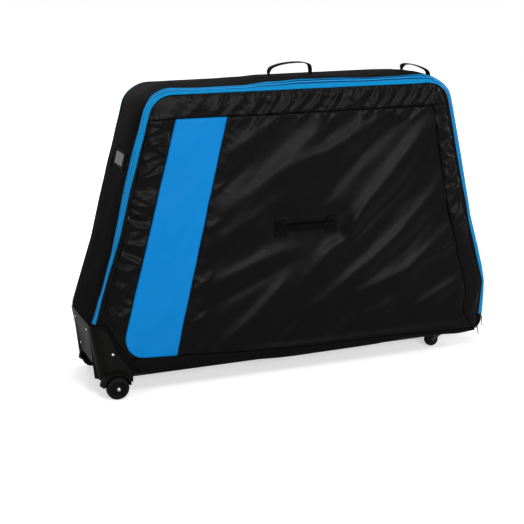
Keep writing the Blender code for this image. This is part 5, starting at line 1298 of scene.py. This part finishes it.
# back panel and its edge
backShape = {
    "pillow": (0.0050, 0.022), "top": 0.8237, "topHalf": 0.3812, "footTop": 0.06, "footHalf": 0.57,
    "rows": 97, "columns": 150, "fill": 0.5,
    "seams": [(0.70, 0.45), (0.14, 0.58)],  # Z and half length
    "swell": [(0.0016, 1.0, 0.13, 31), (0.0008, 1.4, 0.05, 32)],  # height, squeeze, cell size and seed
    "seamDip": (0.0024, 0.0045), "stitchAway": 0.006, "stitchEnd": 0.012, "stitchLift": 0.0003,
    "pipe": 0.0026, "pipeAngle": 47.0, "pipeLift": 0.0018, "pipeSpacing": 0.006, "bindingThick": 0.003,
}


def buildBack():
    # padded back: rows between the two sides, with a thick border that turns in
    b = backShape
    z = np.linspace(hinge, b["top"], b["rows"])
    line = outline.inset(edgeRadius + layerGap)
    rightX = np.interp(z, *lookup(line[line[:, 0] > 0], 1))
    leftX = np.interp(z, *lookup(line[line[:, 0] < 0], 1))
    rightX[-1], leftX[-1] = b["topHalf"], -b["topHalf"]
    t = np.linspace(0, 1, b["columns"])
    x = leftX[:, None] * (1 - t) + rightX[:, None] * t
    zz = np.broadcast_to(z[:, None], x.shape)
    points = np.stack([x.ravel(), zz.ravel()], -1)
    border, footX = line[line[:, 1] > b["footTop"]], b["footHalf"]
    border = np.concatenate([border, [[-footX, hinge], [footX, hinge]], border[:1]])
    toRim, _, _ = lineDistance(points, border)
    height = b["pillow"][0] * (1 - np.exp(-toRim / b["pillow"][1]))
    for level, half in b["seams"]:
        height -= seamGroove(points, [(-half, level), (half, level)], b["seamDip"])
    for high, squeeze, size, seed in b["swell"]:
        height += high * smoothNoise(points[:, 0] * squeeze, points[:, 1], size, seed)
    outer = np.stack([x, halfDepth + height.reshape(x.shape), zz], -1)
    inner = np.stack([x, np.full_like(x, halfDepth - bodyShape["foam"]), zz], -1)
    piece = addPiece("backPanel", slab("backPanel", outer, inner, outer[..., [0, 2]]), "paddedCloth", "case",
                     ["back_panel"])
    face = outer.reshape(-1, 3)
    lines = []
    for level, _ in b["seams"]:
        half = float(np.interp(level, z, rightX)) - b["stitchEnd"]
        xs = np.linspace(-half, half, 200)
        for shift in (b["stitchAway"], -b["stitchAway"]):
            away = face[:, 2] - level - shift
            nearest = [((face[:, 0] - q) ** 2 + away ** 2).argmin() for q in xs[::20]]
            y = np.interp(xs, xs[::20], face[nearest, 1])
            lines.append(np.stack([xs, y, np.full_like(xs, level + shift)], -1))
    stitches("backStitch", lines, (0, 1, 0), "case", b["stitchLift"])


def buildBackEdge():
    b = backShape
    bandOnEdge("backBinding", 0.0, outline.length, 0.0, 90.0, backBinding, b["bindingThick"], "paddedCloth",
               "case", ["back_binding"], 19, 1)
    s, p, n = stations(0.0, outline.length, b["pipeSpacing"])
    middle = edgePlace(p, n, b["pipeAngle"], b["pipeLift"], 1)[:, 0]
    facing = edgeOutward(n, b["pipeAngle"], 1)
    across = np.cross(unit(np.gradient(middle, axis=0)), facing)
    ring, radius = circle(8), b["pipe"] / 2
    rings = middle[:, None] + radius * (np.cos(ring)[None, :, None] * facing[:, None]
                                        + np.sin(ring)[None, :, None] * across[:, None])
    addPiece("backPiping", loft("backPiping", rings, clothMap(s, ring * radius)), "blueTape", "case")


buildBack()
buildBackEdge()
print("back made")

# hard parts: clean copies of the solids, and turned or domed pieces of their own
shading = {"joined": 1.2, "crease": 32, "turned": 40, "domed": 50, "strap": 60}  # degrees


def solidMesh(node, bevel, sharp, segments):
    # a copy of a CAD solid with flat faces joined and its sharp edges eased
    shape = bmesh.new()
    shape.from_mesh(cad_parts[node].data)
    bmesh.ops.remove_doubles(shape, verts=shape.verts, dist=0.00001)
    bmesh.ops.dissolve_limit(shape, angle_limit=math.radians(shading["joined"]), verts=shape.verts,
                             edges=shape.edges)
    edges = [e for e in shape.edges if len(e.link_faces) == 2 and e.calc_face_angle() > math.radians(sharp)]
    bmesh.ops.bevel(shape, geom=edges, offset=bevel, offset_type="OFFSET", segments=segments, profile=0.5,
                    affect="EDGES", clamp_overlap=False)
    bmesh.ops.triangulate(shape, faces=[f for f in shape.faces if len(f.verts) > 4])
    bmesh.ops.recalc_face_normals(shape, faces=shape.faces)
    mesh = bpy.data.meshes.new(node)
    shape.to_mesh(mesh)
    shape.free()
    mesh.shade_smooth()
    mesh.set_sharp_from_angle(angle=math.radians(shading["crease"]))
    return mesh


def dress(name, node, look, body, bevel, sharp=28, segments=2):
    return addPiece(name, solidMesh(node, bevel, sharp, segments), look, body, [node])


def spin(name, profile, centre, look, body, nodes, steps=72):
    # a turned ring: profile of radius and Y round an axis along Y
    angles = circle(steps)
    r, y = np.array(profile, float).T
    x = centre[0] + r[None, :] * np.cos(angles)[:, None]
    z = centre[2] + r[None, :] * np.sin(angles)[:, None]
    mesh = loft(name, np.stack([x, np.broadcast_to(centre[1] + y[None, :], x.shape), z], -1), closed=True)
    mesh.set_sharp_from_angle(angle=math.radians(shading["turned"]))
    return addPiece(name, mesh, look, body, nodes)


def softened(corners, radius, steps):
    # a closed profile with its corners rounded
    corners = [Vector(c) for c in corners]
    out = []
    for k, here in enumerate(corners):
        before, after = corners[k - 1], corners[(k + 1) % len(corners)]
        reach = min(radius, 0.45 * (before - here).length, 0.45 * (after - here).length)
        a, b = here + (before - here).normalized() * reach, here + (after - here).normalized() * reach
        for n in range(steps + 1):
            t = n / steps
            out.append(tuple(a * (1 - t) ** 2 + here * 2 * t * (1 - t) + b * t ** 2))
    return out


def mirrored(profile, radius):
    # a wheel's whole profile from its one half, with its corners rounded
    return softened(profile + [(r, -y) for r, y in reversed(profile)], radius, 2)


wheelShape = {
    "radius": 0.032, "width": 0.024, "tyreDepth": 0.0095, "place": (-0.5625, 0.1455, 0.032), "bore": 0.0043,
    "casterRadius": 0.0215, "casterWidth": 0.018, "casterPlace": (0.4645, 0.069, 0.0215),
    "casterBore": 0.0029,
    "capSize": (0.0042, 0.0012), "capOut": 0.0150,
}
# shares of a head's radius and height
domeProfile = [(1.0, -0.2), (1.0, 0.25), (0.86, 0.62), (0.55, 0.90), (0.25, 1.0)]


def dome(name, centre, direction, size, look, body="case", count=28):
    # a rivet or screw head: a low dome with a flat rim
    turn = np.array(Vector(direction).normalized().to_track_quat("Z", "Y").to_matrix())
    angles, (radius, height) = circle(count), size
    rim = np.stack([radius * np.cos(angles), radius * np.sin(angles), np.full(count, height)], -1)
    rings = [rim * (r, r, h) @ turn.T + np.array(centre) for r, h in domeProfile]
    mesh = loft(name, rings)
    mesh.set_sharp_from_angle(angle=math.radians(shading["domed"]))
    return addPiece(name, mesh, look, body)


def buildWheels():
    w = wheelShape
    half, core, ridge = w["width"] / 2, w["radius"] - w["tyreDepth"], w["radius"]
    seat, bore = core - layerGap, w["bore"]
    wide, big = w["casterWidth"] / 2, w["casterRadius"]
    # profiles of radius and Y, up to the middle
    tyre = [(core, -half), (core + 0.0030, -half), (core + 0.0036, -half + 0.0007),
            (ridge - 0.0042, -half + 0.0005), (ridge - 0.0022, -half + 0.0022),
            (ridge - 0.0004, -half + 0.0056), (ridge, -0.0042), (ridge - 0.0007, -0.0038),
            (ridge - 0.0007, -0.0030), (ridge, -0.0026)]
    hub = [(bore, -half), (bore + 0.0036, -half), (bore + 0.0044, -half + 0.0016),
           (bore + 0.0062, -half + 0.0034), (seat - 0.0056, -half + 0.0034), (seat - 0.0044, -half + 0.0012),
           (seat - 0.0030, -half), (seat - 0.0010, -half), (seat, -half + 0.0006)]
    tread = [(w["casterBore"], -wide), (0.0060, -wide), (0.0068, -wide + 0.0012), (0.0118, -wide + 0.0012),
             (0.0128, -wide), (big - 0.0030, -wide), (big - 0.0010, -wide + 0.0012), (big, -wide + 0.0045)]
    for label, side in (("front", -1), ("back", 1)):
        centre, roller = ((x, side * y, z) for x, y, z in (w["place"], w["casterPlace"]))
        wheel, swivel = "rear_wheel_" + label, "swivel_" + label
        spin("tyre_" + label, mirrored(tyre, 0.0004), centre, "tyre", wheel, ["rear_tyre_" + label])
        spin("hub_" + label, mirrored(hub, 0.0006), centre, "housing", wheel, ["rear_hub_" + label])
        spin("rollerTread_" + label, mirrored(tread, 0.0006), roller, "tyre", "roller_" + label,
             ["caster_wheel_" + label], 56)
        dress("rearAxle_" + label, "rear_axle_" + label, "darkSteel", "case", 0.0004)
        cap = (centre[0], centre[1] + side * w["capOut"], centre[2])
        dome("axleCap_" + label, cap, (0, side, 0), w["capSize"], "zinc")
        dress("casterPlate_" + label, "caster_plate_" + label, "blackSteel", "case", 0.0003)
        dress("casterFork_" + label, "caster_fork_" + label, "blackSteel", swivel, 0.0004)
        dress("casterAxle_" + label, "caster_axle_" + label, "blackSteel", swivel, 0.0003)


housingShape = {
    # Z, and how far the cheek's front edge curves out there
    "cheekEdge": ((0.058, 0.066, 0.077, 0.086, 0.100, 0.120, 0.151, 0.180, 0.195, 0.200),
                  (0.0, 0.0015, 0.006, 0.0075, 0.0068, 0.006, 0.0086, 0.0125, 0.0175, 0.016)),
    "cheekY": (0.120, 0.1275), "cheekX": (-0.605, -0.575), "face": 0.1258,
    # X, Z, radius and height, and look of the heads on each cheek
    "cheekHeads": {"rivetLow": (-0.5674, 0.1223, (0.0040, 0.0019), "zinc"),
                   "plugHigh": (-0.6035, 0.1900, (0.0030, 0.0010), "housing"),
                   "plugFoot": (-0.5290, 0.0660, (0.0030, 0.0010), "housing")},
    "screwY": 0.066, "screwZ": (0.105, 0.185), "screwSize": (0.0036, 0.0014), "screwOut": 0.0038,
    "endWall": ((bodyShape["base"], 0.212), (0.600, 0.626)),  # Z and X of its slant
}


def buildHousing():
    h = housingShape
    lowY, highY = h["cheekY"]
    housing = dress("wheelHousing", "wheel_housing", "housing", "case", 0.0011, 24, 3)
    foot, head = h["cheekEdge"][0][0], h["cheekEdge"][0][-1]
    for v in housing.data.vertices:  # the cheeks' curved front edges
        if lowY < abs(v.co.y) < highY and v.co.x > h["cheekX"][0] and foot < v.co.z < head:
            v.co.x += float(np.interp(v.co.z, *h["cheekEdge"])) * float(smoothStep(*h["cheekX"], v.co.x))
    for label, side in (("Front", -1), ("Back", 1)):
        for name, (x, z, size, look) in h["cheekHeads"].items():
            dome(name + label, (x, side * h["face"], z), (0, side, 0), size, look)
    for y in (-h["screwY"], h["screwY"]):
        for row, z in enumerate(h["screwZ"]):
            x = -float(np.interp(z, *h["endWall"])) - h["screwOut"]
            dome("screw_%d_%d" % (y > 0, row), (x, y, z), (-1, 0, 0.16), h["screwSize"], "zinc")


buildWheels()
buildHousing()
dress("baseTray", "base_tray", "basePlastic", "case", 0.0012)
dress("cornerPatch", "corner_patch", "paddedCloth", "case", 0.0030, 28, 3)
print("wheels, casters and housing made")


# webbing: handles, bases and grip
webbingEase = (0.45, 0.9)  # how far the edges are eased, as shares of the thickness


def strap(name, middle, across, outward, width, thick, body, nodes=()):
    # a webbing strap along a line, with eased edges; its width may change along it
    across, outward = everywhere(across, middle), everywhere(outward, middle)
    width = np.broadcast_to(np.asarray(width, float), len(middle))
    ease = thick * webbingEase[0]
    rings, sides = [], []
    for a, b in ((-1, -1), (-1, 1), (1, 1), (1, -1)):
        for easeX, easeY in ((ease, 0), (0, ease))[::a * b]:
            sides.append(a * (width / 2 - easeX))
            lift = b * (thick / 2 - easeY * webbingEase[1])
            rings.append(middle + across * sides[-1][:, None] + outward * lift)
    along = np.broadcast_to(runLength(middle)[:, None], (len(middle), len(rings)))
    mesh = loft(name, np.stack(rings, 1), np.stack([along, np.stack(sides, 1)], -1))
    mesh.set_sharp_from_angle(angle=math.radians(shading["strap"]))
    return addPiece(name, mesh, "webbing", body, nodes)


def smoothLine(knots, spacing, steps=24):
    # points at an even spacing on a rounded line through knots
    knots = np.asarray(knots, float)
    dense = []
    padded = np.concatenate([[2 * knots[0] - knots[1]], knots, [2 * knots[-1] - knots[-2]]])
    for a, b, c, d in zip(padded, padded[1:], padded[2:], padded[3:]):
        t = np.linspace(0, 1, steps, endpoint=False)[:, None]
        dense.append(0.5 * (2 * b + (c - a) * t + (2 * a - 5 * b + 4 * c - d) * t ** 2
                            + (3 * b - a - 3 * c + d) * t ** 3))
    dense = np.concatenate(dense + [knots[-1:]])
    run = runLength(dense)
    return pointsAt(np.linspace(0, run[-1], int(run[-1] / spacing) + 1), run, dense)


def onGusset(s, y, lift):
    # points on the gusset at lengths along the outline
    p, n = outline.at(np.ravel(s))
    lift, y = (np.broadcast_to(np.ravel(value), len(p)) for value in (lift, y))
    p = p - n * (lift[:, None] + layerGap)
    return np.stack([p[:, 0], y, p[:, 1]], -1)


def gussetFacing(s):
    # outward directions of the gusset
    normals = outline.at(np.ravel(s))[1]
    return np.stack([-normals[:, 0], np.zeros(len(normals)), -normals[:, 1]], -1)


def boxStitch(centre, along, across, length, width):
    # lines of a sewn box with a cross
    a, b = np.asarray(along) * length / 2, np.asarray(across) * width / 2
    corner = [centre - a - b, centre + a - b, centre + a + b, centre - a + b]
    return [np.array([corner[j], corner[k]]) for j, k in ((0, 1), (1, 2), (2, 3), (3, 0), (0, 2), (1, 3))]


handleShape = {"width": 0.026, "thick": 0.0028, "flare": (0.001, 0.015), "spacing": 0.0016,
               "baseThick": 0.0014, "baseWidth": 0.034, "baseSpacing": 0.004, "box": 0.026, "boxIn": 0.62,
               "boxWide": 0.72, "root": (0.001, 0.016)}  # root: heights between which the webbing bends


def buildHandle(name, nodes, knots, baseSpan, legs):
    # knots: X and Z from the right foot to the left one; baseSpan: X of the base strap's ends
    h = handleShape
    line = smoothLine(knots, h["spacing"])
    path = np.stack([line[:, 0], np.zeros(len(line)), line[:, 1]], -1)
    outward = np.cross((0.0, 1.0, 0.0), unit(np.gradient(path, axis=0)))
    run = runLength(line)
    width = np.minimum(legs[0] + (h["width"] - legs[0]) * smoothStep(*h["flare"], run),
                       legs[1] + (h["width"] - legs[1]) * smoothStep(*h["flare"], run[-1] - run))
    piece = strap(name, path, (0, 1, 0), outward, width, h["thick"], None, nodes[:1])
    # the direction upright from the roots is worked out, and the handle's placement is baked into its mesh
    upright = np.cross(path[-1] - path[0], (0.0, 1.0, 0.0))
    upright *= np.sign(upright @ (path[len(path) // 2] - path[0])) / np.linalg.norm(upright)
    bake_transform(piece)
    # base strap sewn on the gusset
    first, last = (outline.where(0, x, x > 0) for x in baseSpan)
    s = np.linspace(first, last, max(12, int((last - first) / h["baseSpacing"])))
    strap(name + "Base", onGusset(s, 0.0, h["baseThick"] / 2), (0, 1, 0), gussetFacing(s), h["baseWidth"],
          h["baseThick"], "case", nodes[1:])
    lines = []
    for at in (first + h["box"] * h["boxIn"], last - h["box"] * h["boxIn"]):
        facing, centre = gussetFacing(at)[0], onGusset(at, 0.0, h["baseThick"])[0]
        lines += boxStitch(centre, (-facing[2], 0.0, facing[0]), (0, 1, 0), h["box"],
                           h["baseWidth"] * h["boxWide"])
    stitches(name + "Stitch", lines, gussetFacing((first + last) / 2)[0], "case")


buildHandle("topHandle", ["top_handle", "top_handle_base"],
            [(0.0712, 0.8505), (0.0716, 0.8600), (0.0702, 0.8720), (0.0655, 0.8795), (0.0500, 0.8848),
             (0.0300, 0.8862), (0.0020, 0.8852), (-0.0263, 0.8812), (-0.0475, 0.8745), (-0.0545, 0.8680),
             (-0.0575, 0.8600), (-0.0572, 0.8505)], (0.107, -0.095), (0.022, 0.011))
buildHandle("cornerHandle", ["corner_handle", "corner_handle_base"],
            [(0.4555, 0.8135), (0.4590, 0.8260), (0.4580, 0.8400), (0.4520, 0.8480), (0.4380, 0.8555),
             (0.4210, 0.8620), (0.4000, 0.8675), (0.3830, 0.8690), (0.3735, 0.8670), (0.3690, 0.8600),
             (0.3690, 0.8510)], (0.4585, 0.357), (0.018, 0.012))


def buildGrip():
    g = gripShape
    surface = clothFace - g["seat"]
    wide, tall = g["patch"]
    lines = []
    for label, side in (("Left", -1), ("Right", 1)):
        centre = g["centre"] + side * g["spacing"] / 2
        z = np.linspace(g["height"] - tall / 2, g["height"] + tall / 2, 14)
        middle = np.stack([np.full(14, centre), np.full(14, surface - g["thick"] / 2), z], -1)
        strap("gripPatch" + label, middle, (1, 0, 0), (0, -1, 0), wide, g["thick"], "front_panel",
              ["grip_patch_" + label.lower()])
        lines += boxStitch(np.array((centre, surface - g["thick"], g["height"])), (0, 0, 1), (1, 0, 0),
                           tall - g["stitchIn"], wide - g["stitchIn"])
    stitches("gripPatchStitch", lines, (0, -1, 0), "front_panel")
    # padded bar: flat tabs at both ends, a rounded sleeve between them
    reach, inner = g["spacing"] / 2 + wide / 4, g["spacing"] / 2 - wide / 2
    x = np.linspace(-reach, reach, 91)
    bow = np.cos(np.clip(np.abs(x) / inner, 0, 1) * math.pi / 2) ** g["bluntness"]
    fill = smoothStep(inner - g["swell"][0], inner - g["swell"][1], np.abs(x))
    half, thick = (tab + (bar - tab) * fill for tab, bar in zip(g["tab"], g["bar"]))
    high, away, wideRoll = g["roll"]
    thick = thick + high * bump(np.abs(x), inner - away, wideRoll)
    angles = circle(36)
    power = 1 - g["squareness"] * fill  # squarer where it is filled
    across, out = (np.abs(side)[None, :] ** power[:, None] * np.sign(side)
                   for side in (np.cos(angles), np.sin(angles)))
    pivotY = clothFace - g["pivot"]
    depth, width = g["crease"]
    crease = 1 - depth * fill[:, None] * bump(angles[None, :], math.pi, width)
    rings = np.stack([np.broadcast_to((g["centre"] + x)[:, None], across.shape),
                      (pivotY - 0.0002 - bow * g["standOff"])[:, None] + thick[:, None] * out * crease,
                      (g["height"] - bow * g["sag"])[:, None] + half[:, None] * across * crease], -1)
    bar = addPiece("gripBar", loft("gripBar", rings, clothMap(x, angles * g["girth"])), "webbing", "grip",
                   ["panel_grip"])
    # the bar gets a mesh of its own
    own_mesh(bar)


buildGrip()
print("webbing made")

# address window
windowShape = {"height": 0.6450, "length": 0.050, "frameY": (-0.080, 0.034), "frameRadius": 0.005,
               "film": 0.034, "filmY": (-0.053, 0.023), "filmRadius": 0.003, "thick": 0.0018, "tuck": 0.0024,
               "stitchIn": 0.003, "stitchRadius": 0.004, "filmLift": (0.0004, 0.0009),
               "ripple": (0.0003, 0.018, 41), "foot": 0.0002, "shoulder": 0.7, "ease": (0.985, 1.03)}


def roundedBox(half, spanY, radius, count=6):
    corners = []
    for a, b, turn in ((1, 1, 0), (-1, 1, 90), (-1, -1, 180), (1, -1, 270)):
        for k in range(count + 1):
            angle = math.radians(turn + 90 * k / count)
            corners.append((a * (half - radius) + radius * math.cos(angle),
                            spanY[b > 0] - b * radius + radius * math.sin(angle)))
    return np.array(corners)


def buildWindow():
    w = windowShape
    at = outline.where(1, w["height"], False)
    half, film, thick = w["length"] / 2, w["film"] / 2, w["thick"]
    outer = roundedBox(half, w["frameY"], w["frameRadius"])
    inner = roundedBox(film, w["filmY"], w["filmRadius"])
    middle, foot, shoulder = inner.mean(0), w["foot"], thick * w["shoulder"]
    easedOuter, easedInner = ((shape - middle) * ease + middle
                              for shape, ease in zip((outer, inner), w["ease"]))
    layers = [(outer, foot), (outer, shoulder), (easedOuter, thick),
              (easedInner, thick), (inner, shoulder), (inner, foot)]
    rings = [onGusset(at + shape[:, 0], shape[:, 1], lift) for shape, lift in layers]
    mesh = loft("addressFrame", rings, np.stack([shape for shape, _ in layers]), closed=True)
    addPiece("addressFrame", mesh, "webbing", "case", ["address_frame"])
    # clear film over a grey card, slightly rippled
    u = np.linspace(-film - w["tuck"], film + w["tuck"], 16)
    v = np.linspace(w["filmY"][0] - w["tuck"], w["filmY"][1] + w["tuck"], 30)
    uu, vv = np.meshgrid(u, v, indexing="ij")
    rise, size, seed = w["ripple"]
    ripple = rise * smoothNoise(uu, vv, size, seed)
    under, over = (onGusset(at + uu, vv, lift + ripple * share).reshape(*uu.shape, 3)
                   for lift, share in zip(w["filmLift"], (0.2, 1.0)))
    addPiece("addressFilm", slab("addressFilm", over, under, np.stack([uu, vv], -1)), "windowFilm", "case",
             ["address_window"])
    spanY = (w["frameY"][0] + w["stitchIn"], w["frameY"][1] - w["stitchIn"])
    path = roundedBox(half - w["stitchIn"], spanY, w["stitchRadius"])
    path = np.concatenate([path, path[:1]])
    line = onGusset(at + path[:, 0], path[:, 1], thick + 0.0001)
    stitches("addressStitch", [line], gussetFacing(at)[0], "case")


buildWindow()

# sliders, inner fittings and linings
pullTabs = {"pullerUpper": 1.0, "pullerLower": 0.7}  # how much each tab widens below its eye
for name, node, look, body, bevel in (
        ("sliderUpper", "slider_upper", "darkSteel", "upper_slider", 0.0004),
        ("pullerUpper", "puller_upper", "darkSteel", "upper_puller", 0.0005),
        ("sliderLower", "slider_lower", "darkSteel", "lower_slider", 0.0004),
        ("pullerLower", "puller_lower", "webbingGrain", "lower_puller", 0.0005),
        ("mountRail", "mount_rail", "anodised", "case", 0.0006),
        ("forkMount", "fork_mount", "anodised", "fork_stand", 0.0008),
        ("mountSkewer", "mount_skewer", "zinc", "fork_stand", 0.0004),
        ("skewerLever", "skewer_lever", "anodised", "quick_lever", 0.0007),
        ("cradleCarriage", "cradle_carriage", "anodised", "cradle", 0.0008),
        ("endBoardLeft", "end_board_left", "foamBoard", "case", 0.0014),
        ("endBoardRight", "end_board_right", "foamBoard", "case", 0.0014),
        ("panelCore", "panel_core", "foamBoard", "front_panel", 0.0010)):
    piece = dress(name, node, look, body, bevel)
    if name in pullTabs:
        top = max(v.co.z for v in piece.data.vertices)
        middle = np.mean([v.co.y for v in piece.data.vertices])
        for v in piece.data.vertices:
            spread = pullTabs[name] * float(smoothStep(0.006, 0.011, top - v.co.z))
            v.co.y = middle + (v.co.y - middle) * (1 + spread)

cradleShape = {
    "x": -0.085, "padHalf": (0.028, 0.034), "padSteps": 25, "seatZ": 0.244, "edge": 0.0012, "crown": 0.0048,
    "groove": 0.0036, "fill": 0.3, "strapHalf": 0.0352, "strapZ": 0.2425, "strapRise": 0.0582,
    "strapSize": (0.0255, 0.0022), "strapArch": 0.55, "cornerTuck": 0.10, "cornerSharp": 1.5, "edgeSharp": 6,
}


def buildCradleSoft():
    # saddle pad: a crowned rubber cushion that is flat under its carriage
    c = cradleShape
    steps = np.linspace(-1, 1, c["padSteps"])
    a, b = np.meshgrid(steps, steps, indexing="ij")
    squareness = 1 - c["cornerTuck"] * np.abs(a * b) ** c["cornerSharp"]
    x, y = c["x"] + c["padHalf"][0] * a * squareness, c["padHalf"][1] * b * squareness
    fade = (1 - np.abs(a) ** c["edgeSharp"]) * (1 - np.abs(b) ** c["edgeSharp"])
    top = c["seatZ"] + c["edge"] + (c["crown"] - c["groove"] * (1 - b ** 2)) * fade
    under = np.full_like(top, c["seatZ"] + layerGap)
    mesh = slab("cradlePad", np.stack([x, y, top], -1), np.stack([x, y, under], -1), np.stack([x, y], -1))
    addPiece("cradlePad", mesh, "padRubber", "cradle", ["cradle_pad"])
    # hook-and-loop strap arched over the pad
    angle = math.pi * np.linspace(0, 1, 60)
    z = c["strapZ"] + c["strapRise"] * np.sin(angle) ** c["strapArch"]
    middle = np.stack([np.full(60, c["x"]), -c["strapHalf"] * np.cos(angle), z], -1)
    outward = np.cross((1.0, 0.0, 0.0), unit(np.gradient(middle, axis=0)))
    strap("cradleStrap", middle, (1, 0, 0), outward, *c["strapSize"], "cradle", ["cradle_strap"])


buildCradleSoft()

pocketShape = {"x": (-0.420, 0.260), "z": (0.100, 0.760), "hem": 0.004, "depth": 0.013, "edge": 0.0012,
               "bulge": 0.9, "bulgeReach": 0.07, "swell": (0.10, 0.11, 51), "flat": (0.72, 0.70),
               "bound": 0.012, "boundLift": 0.0010, "boundCorner": 0.03,
               "section": [(0, -0.0007), (0, 0.0003), (0.001, 0.0008)]}


def buildPocket(name, backing, direction, body, node):
    # a net bag for a wheel: one sheet bulged off the wall, bound along its edge
    k = pocketShape
    (left, right), (low, high), hem = k["x"], k["z"], k["hem"]
    a, b = np.meshgrid(np.linspace(0, 1, 61), np.linspace(0, 1, 59), indexing="ij")
    x = left + hem + (right - left - 2 * hem) * a
    z = low + hem + (high - low - 2 * hem) * b
    border = np.minimum(np.minimum(a, 1 - a) * (right - left), np.minimum(b, 1 - b) * (high - low))
    rise, size, seed = k["swell"]
    bulge = smoothStep(0.0, k["bulgeReach"], border) * (1 + rise * smoothNoise(x, z, size, seed))
    y = backing + direction * (k["edge"] + (k["depth"] - k["edge"]) * bulge * k["bulge"])
    mesh = makeMesh(name, np.stack([x, y, z], -1), gridFaces(*a.shape), np.stack([x, z], -1))
    if mesh.polygons[0].normal.y * direction < 0:
        mesh.flip_normals()
    addPiece(name, mesh, "pocketNet", body, [node])
    half = k["bound"] / 2
    corners = [(left + half, low + half), (right - half, low + half), (right - half, high - half),
               (left + half, high - half)]
    path = softened(corners, k["boundCorner"], 8)
    path = np.array(path + path[:1])
    run = runLength(path)
    t = np.linspace(0, run[-1], 260)[:-1]
    x, z = pointsAt(t, run, path).T
    middle = np.stack([x, np.full(len(t), backing + direction * k["boundLift"]), z], -1)
    facing = everywhere((0, direction, 0), middle)
    across = np.cross(facing, unit(np.roll(middle, -1, 0) - np.roll(middle, 1, 0)))
    section = [(inset - half, lift) for inset, lift in k["section"]]
    section += [(-side, lift) for side, lift in reversed(section)]
    rings = np.stack([middle + across * side + facing * lift for side, lift in section], 1)
    bound = loft(name + "Binding", rings, clothMap(t, [side for side, _ in section]), closed=True)
    addPiece(name + "Binding", bound, "webbing", body)


buildPocket("backPocket", halfDepth - 0.0103, -1, "case", "back_wheel_pocket")
buildPocket("panelPocket", -0.1100, 1, "front_panel", "panel_wheel_pocket")
print("inner fittings made")

# floor, light and background
studio = {
    "floorRadius": 9.0,
    "floorDrop": 0.0006,
    "floorColour": (0.90, 0.90, 0.90),
    "floorLift": (0.52, 1.0),  # seen only by the camera: near the case, and at the horizon
    "liftReach": (0.9, 2.2),
    "skyLight": 0.18,
    "lamps": [  # name, place, aim, width, power
        ("frontBox", (0.35, -4.10, 1.85), (0.0, -0.12, 0.45), 0.85, 70.0),
        ("highBox", (-0.30, -1.75, 2.70), (0.0, -0.12, 0.75), 1.10, 22.0),
        ("lowBox", (1.15, -4.00, 0.95), (0.0, -0.12, 0.45), 1.45, 29.0),
        ("leftBox", (-3.6, -1.2, 2.6), (-0.4, 0.0, 0.5), 1.6, 26.0),
        ("topBox", (0.2, 0.3, 3.4), (0.0, 0.0, 0.4), 1.6, 24.0),
        ("backBox", (-0.8, 4.0, 1.9), (0.0, 0.12, 0.45), 1.6, 60.0),
        ("rightBox", (4.0, 0.4, 1.7), (0.5, 0.0, 0.45), 1.4, 50.0),
    ],
}


def buildFloor():
    mesh = bpy.data.meshes.new("floor")
    disc = bmesh.new()
    bmesh.ops.create_circle(disc, cap_ends=True, segments=96, radius=studio["floorRadius"])
    disc.to_mesh(mesh)
    disc.free()
    floor = addObject("floor", mesh)
    floor.location.z = -studio["floorDrop"]
    material = bpy.data.materials.new("floorPaper")
    material.use_nodes = True
    tree = material.node_tree
    shader = tree.nodes["Principled BSDF"]
    setInputs(shader, {"Base Color": (*studio["floorColour"], 1.0), "Roughness": 0.9,
                       "Specular IOR Level": 0.1, "Emission Color": (1.0, 1.0, 1.0, 1.0)})
    centre = tree.nodes.new("ShaderNodeTexCoord").outputs["Object"]
    far = addNode(tree, "ShaderNodeVectorMath", {0: centre}, operation="LENGTH").outputs["Value"]
    spread = addNode(tree, "ShaderNodeMapRange", {"Value": far}, interpolation_type="SMOOTHSTEP")
    setInputs(spread, dict(zip(("From Min", "From Max", "To Min", "To Max"),
                               (*studio["liftReach"], *studio["floorLift"]))))
    seen = tree.nodes.new("ShaderNodeLightPath").outputs["Is Camera Ray"]
    setInputs(shader, {"Emission Strength": mathNode(tree, "MULTIPLY", seen, spread.outputs["Result"])})
    mesh.materials.append(material)


def buildSky():
    # white to the camera and in reflections, and a dim fill light otherwise
    scene.world = bpy.data.worlds.new("studioWorld")
    scene.world.use_nodes = True
    tree = scene.world.node_tree
    path = tree.nodes.new("ShaderNodeLightPath").outputs
    seen = mathNode(tree, "ADD", path["Is Camera Ray"], path["Is Glossy Ray"])
    seen = mathNode(tree, "MINIMUM", mathNode(tree, "ADD", seen, path["Is Transmission Ray"]), 1.0)
    setInputs(tree.nodes["Background"], {"Color": (1.0, 1.0, 1.0, 1.0),
                                         "Strength": mathNode(tree, "MAXIMUM", seen, studio["skyLight"])})


def buildLamps():
    for name, spot, aim, width, power in studio["lamps"]:
        light = bpy.data.lights.new(name, "AREA")
        light.size, light.energy = width, power
        lamp = addObject(name, light)
        lamp.location = spot
        lamp.rotation_euler = (Vector(aim) - Vector(spot)).to_track_quat("-Z", "Y").to_euler()


buildFloor()
buildSky()
buildLamps()
scene.view_settings.view_transform = "Standard"
print("stage made")
